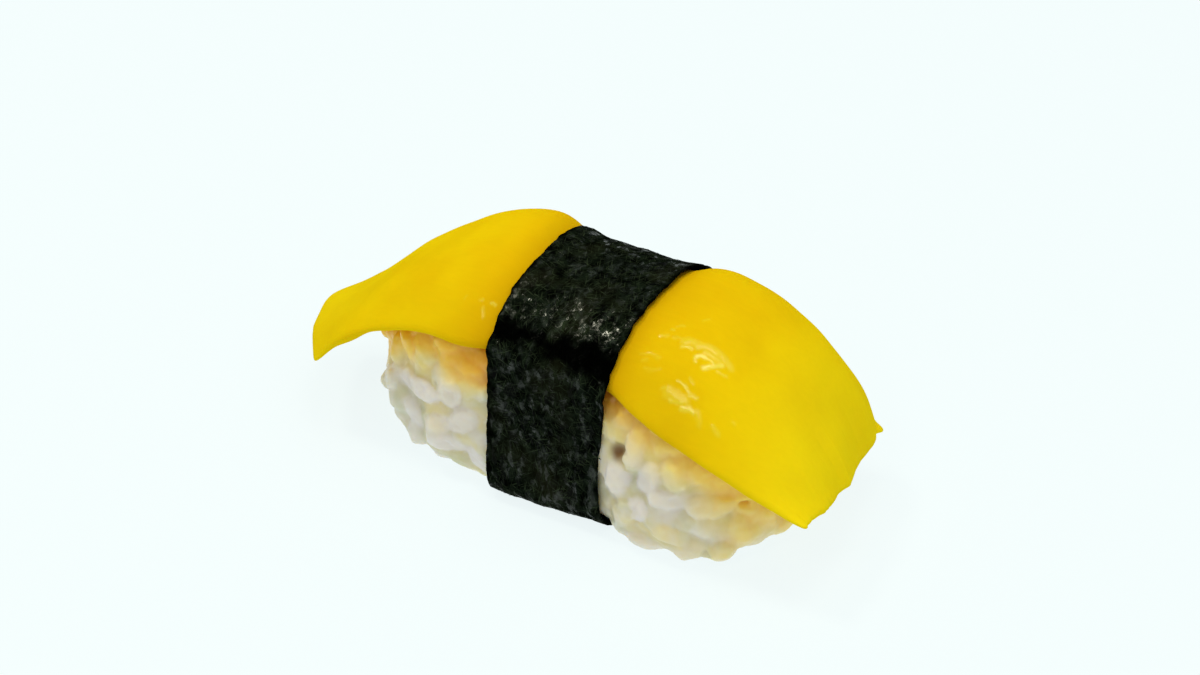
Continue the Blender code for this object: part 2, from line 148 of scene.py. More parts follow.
class Paint:
    """A material and its tree, with a short call for each kind of node that the finishes repeat."""

    def __init__(self, name: str) -> None:
        """Start a material with its Principled shader.

        Args:
            name: The material's name.
        """
        self.material = bpy.data.materials.new(name)
        self.material.use_nodes = True
        self.tree = self.material.node_tree
        self.shader = self.tree.nodes["Principled BSDF"]

    def node(self, kind: str, links: dict | None = None, **settings: Any) -> Node:
        """Add a node to the tree."""
        return add_node(self.tree, kind, links, **settings)

    def object_place(self) -> NodeSocket:
        """Return the socket of the piece's own coordinates, in metres."""
        return self.node("ShaderNodeTexCoord").outputs["Object"]

    def attribute(self, name: str) -> NodeSocket:
        """Return the socket that reads a number stored on the mesh."""
        return self.node("ShaderNodeAttribute", attribute_name=name).outputs["Fac"]

    def mottle(
        self, place: Any, scale: float, detail: float, more: dict | None = None, **settings: Any
    ) -> NodeSocket:
        """Spread soft random blots.

        Args:
            place: The coordinates to read.
            scale: How many blots fit in one unit of them.
            detail: How many finer layers the blots have.
            more: What feeds the node's other inputs.
            settings: The node's own properties.

        Returns:
            The blots' strength, from 0 to 1.
        """
        links = {"Vector": place, "Scale": scale, "Detail": detail, **(more or {})}
        return self.node("ShaderNodeTexNoise", links, **settings).outputs["Fac"]

    def mapped(self, place: Any, **links: Any) -> NodeSocket:
        """Turn or stretch coordinates."""
        return self.node("ShaderNodeMapping", {"Vector": place, **links}).outputs["Vector"]

    def maths(self, how: str, first: Any, second: Any) -> NodeSocket:
        """Work out a number from two others."""
        return self.node("ShaderNodeMath", {0: first, 1: second}, operation=how).outputs[0]

    def vector(self, how: str, *values: Any) -> NodeSocket:
        """Work out a vector, or the number of a DOT_PRODUCT, from vectors."""
        made = self.node("ShaderNodeVectorMath", dict(enumerate(values)), operation=how)
        return made.outputs["Value" if how == "DOT_PRODUCT" else "Vector"]

    def blend(self, share: Any, low: Any, high: Any, how: str = "MIX") -> NodeSocket:
        """Mix two colours.

        Args:
            share: How much of the second colour, as a socket or a number.
            low: The first colour, as a socket or a hex code.
            high: The second colour.
            how: The blending mode.

        Returns:
            The mixed colour's socket.
        """
        low, high = (srgb(end) if isinstance(end, str) else end for end in (low, high))
        links = {0: share, 6: low, 7: high}
        return self.node("ShaderNodeMix", links, data_type="RGBA", blend_type=how).outputs[2]

    def ramp(
        self, value: Any, span: Sequence[float] = (0.0, 1.0), to: Sequence[float] = (0.0, 1.0)
    ) -> NodeSocket:
        """Stretch a value's span to another one, clamped at both ends.

        Args:
            value: The value's socket.
            span: Where it starts and ends.
            to: What its start and its end become.

        Returns:
            The stretched value's socket.
        """
        names = ("From Min", "From Max", "To Min", "To Max")
        links = {"Value": value, **dict(zip(names, (*span, *to)))}
        return self.node("ShaderNodeMapRange", links).outputs["Result"]

    def bump(self, height: Any, strength: Any, depth: float, below: Any = None) -> NodeSocket:
        """Give the skin a relief too fine for the mesh.

        Args:
            height: The relief's socket.
            strength: How much of it shows.
            depth: The height of 1 in millimetres.
            below: The normal of a relief under this one.

        Returns:
            The normal's socket.
        """
        links = {"Height": height, "Strength": strength, "Distance": depth * MM}
        if below is not None:
            links["Normal"] = below
        return self.node("ShaderNodeBump", links).outputs["Normal"]

    def finished(self, values: dict[str, Any]) -> Material:
        """Feed the shader and return the material."""
        feed(self.tree, self.shader, values)
        return self.material


# ---------------------------------------------------------------- meshes


def smooth_step(value: np.ndarray | float) -> np.ndarray:
    """Return 0 below 0, 1 above 1 and a soft ramp between."""
    value = np.clip(value, 0.0, 1.0)
    return value * value * (3 - 2 * value)


def bell(value: np.ndarray, middle: float, reach: float) -> np.ndarray:
    """Return a soft bump of height 1 round a middle."""
    return np.exp(-(((value - middle) / reach) ** 2))


def spot(points: np.ndarray, middle: Sequence[float], reach: float) -> np.ndarray:
    """Return 1 close to a middle, and a soft fall to 0 a little beyond its reach."""
    return smooth_step(SPOT_EDGE - np.linalg.norm(points - middle, axis=1) / reach)


def waves(points: np.ndarray, size: float, seed: float, octaves: int = 2) -> np.ndarray:
    """Return smooth noise at each point, about -1 to 1.

    Args:
        points: Places in millimetres, one a row.
        size: The size of a feature in millimetres.
        seed: A number that moves the pattern.
        octaves: How many finer layers it has.

    Returns:
        One value for each point.
    """
    places = points / size + seed * WAVE_SHIFT
    values = [noise.fractal(Vector(place), 1.0, WAVE_FINER, octaves) for place in places]
    return WAVE_GAIN * np.array(values)


def read(items: Any, key: str, width: int, number: type = np.float64) -> np.ndarray:
    """Read one property of all of a mesh's items.

    Args:
        items: The items, such as a mesh's vertices.
        key: The property's name.
        width: How many numbers it has.
        number: The numbers' type.

    Returns:
        The numbers, one item a row.
    """
    flat = np.empty(len(items) * width, dtype=number)
    items.foreach_get(key, flat)
    return flat.reshape(-1, width)


def points_of(mesh: Mesh) -> np.ndarray:
    """Return a mesh's points in millimetres, one a row."""
    return read(mesh.vertices, "co", 3) / MM


def normals_of(mesh: Mesh) -> np.ndarray:
    """Return a mesh's normals, one for each point."""
    return read(mesh.vertex_normals, "vector", 3)


def edges_of(mesh: Mesh) -> np.ndarray:
    """Return the two points of each edge, one edge a row."""
    return read(mesh.edges, "vertices", 2, np.int64)


def triangles_of(mesh: Mesh) -> np.ndarray:
    """Return the three points of each triangle, one triangle a row."""
    mesh.calc_loop_triangles()
    return read(mesh.loop_triangles, "vertices", 3, np.int64)


def tree_of(mesh: Mesh) -> BVHTree:
    """Return a search tree of a mesh's triangles, in millimetres."""
    return BVHTree.FromPolygons(points_of(mesh).tolist(), triangles_of(mesh).tolist())


def move_points(mesh: Mesh, points: np.ndarray) -> None:
    """Give a mesh new places, in millimetres, for its points."""
    mesh.vertices.foreach_set("co", (points * MM).ravel())
    mesh.update()


def store(mesh: Mesh, name: str, values: np.ndarray, kind: str = "FLOAT") -> None:
    """Store a value for each point of a mesh, for its material or a geometry tree to read.

    Args:
        mesh: The mesh.
        name: The attribute's name.
        values: One value, or one row, for each point.
        kind: The attribute's type: FLOAT, INT or FLOAT_VECTOR.
    """
    layer = mesh.attributes.get(name) or mesh.attributes.new(name, kind, "POINT")
    key = "vector" if kind == "FLOAT_VECTOR" else "value"
    number = np.int32 if kind == "INT" else np.float32
    layer.data.foreach_set(key, np.asarray(values, dtype=number).ravel())


def stored(mesh: Mesh, name: str) -> np.ndarray:
    """Return the number that a mesh stores for each of its points."""
    return read(mesh.attributes[name].data, "value", 1, np.float32)[:, 0]


def box_of(node: str) -> tuple[np.ndarray, np.ndarray]:
    """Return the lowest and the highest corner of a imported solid, in millimetres."""
    low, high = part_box(node)
    return np.array(low) / MM, np.array(high) / MM


def beside_nori(points: np.ndarray) -> np.ndarray:
    """Return how far along X each point lies beside the nori, and 0 under it."""
    low, high = box_of("nori_band")
    return np.maximum(np.maximum(low[0] - points[:, 0], points[:, 0] - high[0]), 0.0)


def linked(mesh: Mesh, name: str) -> Object:
    """Make a smooth piece of a mesh and link it to the scene.

    Args:
        mesh: The mesh.
        name: The piece's name.

    Returns:
        The new piece.
    """
    mesh.shade_smooth()
    piece = bpy.data.objects.new(name, mesh)
    bpy.context.scene.collection.objects.link(piece)
    return piece


def new_piece(name: str, points: Iterable, faces: Iterable) -> Object:
    """Make a smooth piece from points and faces.

    Args:
        name: The piece's name.
        points: Its points in millimetres.
        faces: The points of each of its faces, by number.

    Returns:
        The new piece.
    """
    mesh = bpy.data.meshes.new(name)
    scaled = np.asarray(points, dtype=float) * MM
    mesh.from_pydata(scaled.tolist(), [], [tuple(int(i) for i in face) for face in faces])
    mesh.update()
    return linked(mesh, name)


def opened(*meshes: Mesh) -> bmesh.types.BMesh:
    """Open one mesh, or several together, for editing.

    Args:
        meshes: The meshes, which stay as they are.

    Returns:
        The open mesh.
    """
    work = bmesh.new()
    for mesh in meshes:
        work.from_mesh(mesh)
    return work


def closed(work: bmesh.types.BMesh, mesh: Mesh) -> Mesh:
    """Write an open mesh into a mesh, close it and return the mesh.

    Args:
        work: The open mesh.
        mesh: The mesh that takes it.

    Returns:
        The mesh.
    """
    work.to_mesh(mesh)
    work.free()
    return mesh


def merged_copy(node: Object, name: str) -> Object:
    """Copy a solid's loose triangles into one closed mesh, of quads where they pair up.

    Args:
        node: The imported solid, which stays as it is.
        name: The copy's name.

    Returns:
        The new piece.
    """
    work = opened(node.data)
    bmesh.ops.remove_doubles(work, verts=work.verts, dist=WELD * MM)
    angles = {"angle_face_threshold": PAIR_ANGLE, "angle_shape_threshold": math.pi}
    bmesh.ops.join_triangles(work, faces=work.faces, **angles)
    return linked(closed(work, bpy.data.meshes.new(name)), name)


def settle(piece: Object) -> None:
    """Turn a piece's modifiers into its plain mesh.

    Args:
        piece: The piece.
    """
    graph = bpy.context.evaluated_depsgraph_get()
    evaluated = piece.evaluated_get(graph)
    mesh = bpy.data.meshes.new_from_object(evaluated, preserve_all_data_layers=True, depsgraph=graph)
    piece.modifiers.clear()
    old, piece.data = piece.data, mesh
    mesh.name = piece.name
    bpy.data.meshes.remove(old)


def modify(piece: Object, kind: str, **settings: Any) -> None:
    """Work a piece over with a modifier.

    Args:
        piece: The piece.
        kind: The modifier's type.
        settings: The modifier's own properties.
    """
    modifier = piece.modifiers.new(kind.lower(), kind)
    for name, value in settings.items():
        setattr(modifier, name, value)
    settle(piece)


def subdivide(piece: Object, levels: int) -> None:
    """Round a piece with Catmull-Clark subdivision."""
    modify(piece, "SUBSURF", levels=levels, render_levels=levels)


def remesh(piece: Object, voxel: float) -> None:
    """Fuse a piece's overlapping bodies into one even skin, with a voxel size in millimetres."""
    modify(piece, "REMESH", mode="VOXEL", voxel_size=voxel * MM, use_smooth_shade=True)


def refine(
    piece: Object, low: Sequence[float], high: Sequence[float], rounds: int, lean: float = 0.2
) -> None:
    """Split a piece's upward faces inside a box in X and Y.

    Args:
        piece: The piece.
        low: The box's lowest X and Y in millimetres.
        high: Its highest X and Y.
        rounds: How often each edge is halved.
        lean: The least upward part of a normal that counts as upward.
    """
    work = opened(piece.data)

    def inside(point: bmesh.types.BMVert) -> bool:
        """Return whether a point is one to split at."""
        x, y = point.co.x / MM, point.co.y / MM
        return low[0] < x < high[0] and low[1] < y < high[1] and point.normal.z > lean

    for _ in range(rounds):
        work.normal_update()
        chosen = [edge for edge in work.edges if inside(edge.verts[0]) and inside(edge.verts[1])]
        bmesh.ops.subdivide_edges(work, edges=chosen, cuts=1, use_grid_fill=True)
    closed(work, piece.data)


def relax(values: np.ndarray, edges: np.ndarray, rounds: int, share: float = 0.5) -> np.ndarray:
    """Smooth points, or other values of points, towards the mean of their neighbours.

    Args:
        values: The places or values, one point a row.
        edges: The two points of each edge.
        rounds: How often.
        share: How far each time, from 0 to 1.

    Returns:
        The smoothed places or values.
    """
    count = np.maximum(np.bincount(edges.ravel(), minlength=len(values)), 1)[:, None]
    for _ in range(rounds):
        total = np.zeros_like(values)
        for column in range(values.shape[1]):
            for start, end in ((0, 1), (1, 0)):
                beyond = values[edges[:, end], column]
                total[:, column] += np.bincount(edges[:, start], beyond, len(values))
        values = values + share * (total / count - values)
    return values


def ride(piece: Object, node: str) -> None:
    """Fix a finished piece to the body in place of its solid.

    Args:
        piece: The finished piece.
        node: The solid that it replaces.
    """
    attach(piece, BODY)
    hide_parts(node)
    LOG.info("%s: %d triangles", piece.name, len(triangles_of(piece.data)))


# ---------------------------------------------------------------- geometry nodes


class GeometryTree:
    """A geometry tree that takes named inputs and ends in realized pieces with their material."""

    def __init__(self, name: str) -> None:
        """Start an empty tree with its input and output.

        Args:
            name: The tree's name.
        """
        self.tree = bpy.data.node_groups.new(name, "GeometryNodeTree")
        for way in ("INPUT", "OUTPUT"):
            self.tree.interface.new_socket("Geometry", in_out=way, socket_type="NodeSocketGeometry")
        self.values: dict[str, Any] = {}
        self.start = self.tree.nodes.new("NodeGroupInput")
        self.end = self.tree.nodes.new("NodeGroupOutput")

    def input(self, name: str, kind: str, value: Any) -> NodeSocket:
        """Add a named input.

        Args:
            name: What the input sets.
            kind: Its socket type, such as NodeSocketFloat.
            value: What the modifier gives it.

        Returns:
            The socket inside the tree that carries it.
        """
        made = self.tree.interface.new_socket(name, in_out="INPUT", socket_type=kind)
        self.values[made.identifier] = value
        return self.start.outputs[name]

    def node(self, kind: str, links: dict | None = None, **settings: Any) -> Node:
        """Add a node to the tree."""
        return add_node(self.tree, kind, links, **settings)

    def stored(self, name: str, kind: str = "FLOAT") -> NodeSocket:
        """Return the socket that reads a value stored on the mesh."""
        return self.node("GeometryNodeInputNamedAttribute", {"Name": name}, data_type=kind).outputs[0]

    def draw(self, low: Sequence[float], high: Sequence[float], seed: int) -> NodeSocket:
        """Return a seeded random vector between two."""
        links = {0: low, 1: high, "Seed": seed}
        return self.node("FunctionNodeRandomValue", links, data_type="FLOAT_VECTOR").outputs[0]

    def turn(self, angles: Any) -> NodeSocket:
        """Return the rotation by three angles, as a socket of a vector in radians."""
        return self.node("FunctionNodeEulerToRotation", {0: angles}).outputs[0]

    def scatter(self, points: Any, forms: Any, form: Any, turn: Any, scale: Any) -> NodeSocket:
        """Put an instance on each point.

        Args:
            points: The points.
            forms: The instances to pick from.
            form: Which one each point takes.
            turn: Each one's rotation.
            scale: Each one's scale.

        Returns:
            The instances.
        """
        links = {"Points": points, "Instance": forms, "Pick Instance": True}
        links |= {"Instance Index": form, "Rotation": turn, "Scale": scale}
        return self.node("GeometryNodeInstanceOnPoints", links).outputs["Instances"]

    def apply(self, piece: Object, geometry: Any, material: Material) -> None:
        """Realize the geometry, give it its material and turn the piece into the plain result.

        Args:
            piece: The object whose mesh feeds the tree.
            geometry: The last geometry socket.
            material: The finish.
        """
        finish = self.input("Material", "NodeSocketMaterial", material)
        real = self.node("GeometryNodeRealizeInstances", {"Geometry": geometry}).outputs[0]
        dressed = self.node("GeometryNodeSetMaterial", {"Geometry": real, "Material": finish})
        self.tree.links.new(dressed.outputs[0], self.end.inputs[0])
        modifier = piece.modifiers.new(self.tree.name, "NODES")
        modifier.node_group = self.tree
        for identifier, value in self.values.items():
            modifier[identifier] = value
        settle(piece)
        bpy.data.node_groups.remove(self.tree)


# ---------------------------------------------------------------- finishes


@dataclass(frozen=True)
class PickledRadish:
    """Pickled radish, salted, dyed yellow and sliced: smooth, waxy, wet and faintly see-through."""

    flesh: str = "#e8c60a"
    deep: str = "#cf9c06"
    lemon: str = "#e6d214"
    brine: str = "#e2d324"
    patch_size: float = 11.0
    fibre_length: float = 7.0
    fibre_width: float = 0.5
    fibre_height: float = 0.02
    pore_size: float = 0.35
    pore_height: float = 0.015
    light_depth: float = 2.2

    def material(self) -> Material:
        """Make the material.

        Returns:
            The material.
        """
        paint = Paint("pickled_radish")
        place = paint.object_place()
        patches = paint.mottle(place, per_mm(self.patch_size), 3.0)
        stretched = paint.mapped(place, Scale=(self.fibre_width / self.fibre_length, 1.0, 1.0))
        fibres = paint.mottle(stretched, per_mm(self.fibre_width), 2.0)
        pores = paint.mottle(place, per_mm(self.pore_size), 2.0)
        # Dye runs deeper in patches; beside the nori the flesh is darkened as painted shade, and thin
        # ends look lemon against the light.
        colour = paint.blend(paint.ramp(patches, (0.4, 0.68), (0.0, 0.35)), self.flesh, self.deep)
        colour = paint.blend(paint.attribute("pressed"), colour, self.deep)
        colour = paint.blend(paint.attribute("thin"), colour, self.lemon)
        # Brine stands along the creases and catches the lamps there; their paler lemon is a painted
        # highlight tint.
        wet = paint.attribute("wet")
        colour = paint.blend(paint.ramp(wet, to=(0.0, 0.6)), colour, self.brine)
        streaks = paint.ramp(fibres, (0.35, 0.65), (0.98, 1.0))
        grey = paint.node("ShaderNodeCombineColor", dict.fromkeys(range(3), streaks)).outputs[0]
        skin = paint.bump(pores, 0.12, self.pore_height)
        return paint.finished(
            {
                "Base Color": paint.blend(1.0, colour, grey, "MULTIPLY"),
                "Roughness": paint.ramp(pores, (0.3, 0.7), (0.26, 0.36)),
                "Normal": paint.bump(fibres, 0.08, self.fibre_height, skin),
                "Specular IOR Level": 0.0,
                "Coat Weight": paint.ramp(wet, to=(0.0, 0.62)),
                "Coat Roughness": 0.2,
                "Coat IOR": 1.6,
                "Subsurface Weight": 0.22,
                "Subsurface Radius": (1.0, 0.62, 0.05),
                "Subsurface Scale": self.light_depth * MM,
            }
        )


@dataclass(frozen=True)
class ToastedNori:
    """Toasted nori, laver pulp dried in a sheet: black-green, matted with fibres, with dry glints."""

    black: str = "#020302"
    green: str = "#111910"
    olive: str = "#202213"
    strand: str = "#37422f"
    sheen: str = "#33432b"
    tight: str = "#010101"
    clump_size: float = 1.5
    cloud_size: float = 6.0
    strand_length: float = 2.2
    strand_width: float = 0.17
    strand_height: float = 0.08
    strand_turns: tuple[float, ...] = (18.0, 63.0, 111.0, 158.0)
    grit_size: float = 0.2
    grit_height: float = 0.05
    flake_size: float = 0.48
    flake_stretch: float = 0.38
    flake_slope: float = 0.55
    flake_warp: float = 1.5

    def material(self) -> Material:
        """Make the material.

        Returns:
            The material.
        """
        paint = Paint("toasted_nori")
        sheet = paint.node("ShaderNodeUVMap", uv_map="sheet").outputs["UV"]
        clouds = paint.mottle(sheet, 1 / self.cloud_size, 2.0)
        clumps = paint.mottle(sheet, 1 / self.clump_size, 4.0, {"Roughness": 0.65})
        grit = paint.mottle(sheet, 1 / self.grit_size, 2.0)
        strands = self.strands(paint, sheet)
        tilt, pick = self.flakes(paint, sheet)
        # The crease and the cut edges are darkened to near black: painted shade.
        tight, patch = paint.attribute("tight"), paint.attribute("foil")
        colour = paint.blend(paint.ramp(clumps, (0.42, 0.62)), self.black, self.green)
        colour = paint.blend(paint.ramp(clouds, (0.5, 0.75), (0.0, 0.5)), colour, self.olive)
        # The foot is painted olive, lighter towards the bottom.
        colour = paint.blend(paint.attribute("worn"), colour, self.olive)
        colour = paint.blend(paint.maths("MULTIPLY", strands, 0.6), colour, self.strand)
        # The glint patches are painted a lighter green: painted sheen.
        colour = paint.blend(paint.ramp(patch, to=(0.0, 0.35)), colour, self.sheen)
        # Flakes of laver that dried smooth flash like foil, but not in the painted shade of the crease
        # and the cut edges.
        some = paint.ramp(pick, (0.5, 0.65), (0.06, 1.0))
        foil = paint.maths("MULTIPLY", paint.ramp(clumps, (0.49, 0.61), (0.05, 0.5)), some)
        bright = paint.maths("MULTIPLY", patch, paint.ramp(pick, (0.2, 0.35), (0.05, 1.2)))
        foil = paint.maths("MAXIMUM", foil, bright)
        skin = paint.bump(grit, 0.7, self.grit_height)
        return paint.finished(
            {
                "Base Color": paint.blend(tight, colour, self.tight),
                "Roughness": 0.55,
                "Normal": paint.bump(strands, 0.9, self.strand_height, skin),
                "Specular IOR Level": 0.0,
                "Coat Weight": paint.maths("MULTIPLY", foil, paint.maths("SUBTRACT", 1.0, tight)),
                "Coat Roughness": 0.19,
                "Coat IOR": 1.5,
                "Coat Normal": paint.bump(tilt, paint.ramp(patch, to=(1.0, 0.2)), 1.0),
            }
        )

    def flakes(self, paint: Paint, sheet: Any) -> tuple[Any, Any]:
        """Split the sheet into small flakes that each lean their own way.

        Args:
            paint: The material in the making.
            sheet: The sheet's coordinates in millimetres.

        Returns:
            The height of the leaning flakes in millimetres, and a random number for each flake.
        """
        middle = (0.5, 0.5, 0.5)
        links = {"Vector": sheet, "Scale": 1 / (2 * self.flake_size), "Detail": 1.0}
        wander = paint.node("ShaderNodeTexNoise", links).outputs["Color"]
        reach = (self.flake_warp, self.flake_warp, 0.0)
        warped = paint.vector("MULTIPLY_ADD", paint.vector("SUBTRACT", wander, middle), reach, sheet)
        warped = paint.mapped(warped, Scale=(self.flake_stretch, 1.0, 1.0))
        links = {"Vector": warped, "Scale": 1 / self.flake_size}
        cells = paint.node("ShaderNodeTexVoronoi", links, voronoi_dimensions="2D").outputs
        local = paint.vector("SUBTRACT", warped, cells["Position"])
        lean = paint.vector("SUBTRACT", cells["Color"], middle)
        height = paint.maths("MULTIPLY", paint.vector("DOT_PRODUCT", local, lean), self.flake_slope)
        return height, paint.node("ShaderNodeSeparateXYZ", {0: cells["Color"]}).outputs["Z"]

    def strands(self, paint: Paint, sheet: Any) -> NodeSocket:
        """Lay short strands in several directions over each other.

        Args:
            paint: The material in the making.
            sheet: The sheet's coordinates in millimetres.

        Returns:
            The strength of the strands, from 0 to 1.
        """
        top = 0.0
        for turn in self.strand_turns:
            turned = paint.mapped(sheet, Rotation=(0.0, 0.0, math.radians(turn)))
            drawn = paint.mapped(turned, Scale=(1 / self.strand_length, 1 / self.strand_width, 1.0))
            more = {"Distortion": 0.35, "W": turn}
            threads = paint.mottle(drawn, 1.0, 1.0, more, noise_dimensions="4D")
            top = paint.maths("MAXIMUM", top, paint.ramp(threads, (0.6, 0.74)))
        return top


@dataclass(frozen=True)
class SteamedRice:
    """Steamed short grain rice, seasoned and pressed: pearly, moist, see-through at thin edges."""

    pearl: str = "#e2dad2"
    cream: str = "#e5d5a2"
    glassy: str = "#cfcdb2"
    hollow: str = "#c9c07a"
    straw: str = "#f2d668"
    stain: str = "#f9c336"
    deep_stain: str = "#de9526"
    # The pit's dark brown is painted shade.
    pit: str = "#7c5520"
    chalk_size: float = 1.6
    cloud_size: float = 7.0
    starch_size: float = 0.25
    starch_height: float = 0.03
    light_depth: float = 3.0

    def material(self) -> Material:
        """Make the material.

        Returns:
            The material.
        """
        paint = Paint("steamed_rice")
        place = paint.object_place()
        chalk = paint.mottle(place, per_mm(self.chalk_size), 2.0)
        clouds = paint.mottle(place, per_mm(self.cloud_size), 1.0)
        starch = paint.mottle(place, per_mm(self.starch_size), 2.0)
        tone = paint.ramp(paint.attribute("grain_tone"), (0.3, 1.0))
        colour = paint.blend(paint.ramp(clouds, (0.42, 0.58)), self.glassy, self.cream)
        colour = paint.blend(tone, colour, self.pearl)
        colour = paint.blend(paint.ramp(chalk, (0.42, 0.7), (0.0, 0.45)), colour, self.pearl)
        # The crevices between grains are painted darker and yellower: painted shade.
        hollow = paint.ramp(paint.attribute("hollow"), to=(0.0, 0.35))
        colour = paint.blend(hollow, colour, self.hollow)
        # Dye from the slice runs down into the rice, with painted bounce light from the slice over it:
        # straw at its edge, deepest by the nori, where painted shade darkens it too.
        stained = paint.attribute("stained")
        colour = paint.blend(paint.ramp(stained, (0.0, 0.7)), colour, self.straw)
        colour = paint.blend(paint.ramp(stained, (0.4, 1.1)), colour, self.stain)
        colour = paint.blend(paint.attribute("deep"), colour, self.deep_stain)
        # The pit between grains, carved deeper in the mesh, is also painted dark brown as painted shade.
        return paint.finished(
            {
                "Base Color": paint.blend(paint.attribute("pit"), colour, self.pit),
                "Roughness": paint.ramp(starch, (0.3, 0.7), (0.28, 0.42)),
                "Normal": paint.bump(starch, 0.3, self.starch_height),
                "Specular IOR Level": 0.4,
                "Subsurface Weight": 0.8,
                "Subsurface Radius": (1.0, 0.85, 0.6),
                "Subsurface Scale": self.light_depth * MM,
            }
        )


@dataclass(frozen=True)
class StudioPaper:
    """Matte white studio paper over a light table, faintly cool."""

    white: str = "#565b5d"
    glow: str = "#f5feff"
    glow_strength: float = 0.883

    def material(self) -> Material:
        """Make the material.

        Returns:
            The material.
        """
        return Paint("studio_paper").finished(
            {
                "Base Color": srgb(self.white),
                "Emission Color": srgb(self.glow),
                "Emission Strength": self.glow_strength,
                "Roughness": 0.9,
                "Specular IOR Level": 0.1,
            }
        )


# ---------------------------------------------------------------- yellow slice


@dataclass(frozen=True)
class Fold:
    """A fine crease in the slice's upper skin.

    It runs on a smooth curve through a start, a middle and an end, each an X and a Y.
    """

    start: tuple[float, float]
    middle: tuple[float, float]
    end: tuple[float, float]
    half_width: float
    wet: float

    def away(self, flat: np.ndarray, steps: int = 24) -> np.ndarray:
        """Measure how far each place lies from the fold.

        Args:
            flat: X and Y of each place.
            steps: Stretches that the curve is split into.

        Returns:
            The distances in millimetres.
        """
        share = np.linspace(0, 1, steps + 1)[:, None]
        start, middle, end = (np.array(place) for place in (self.start, self.middle, self.end))
        pull = 2 * middle - (start + end) / 2
        curve = (1 - share) ** 2 * start + 2 * share * (1 - share) * pull + share**2 * end
        return np.linalg.norm(flat[:, None] - curve[None], axis=2).min(axis=1)


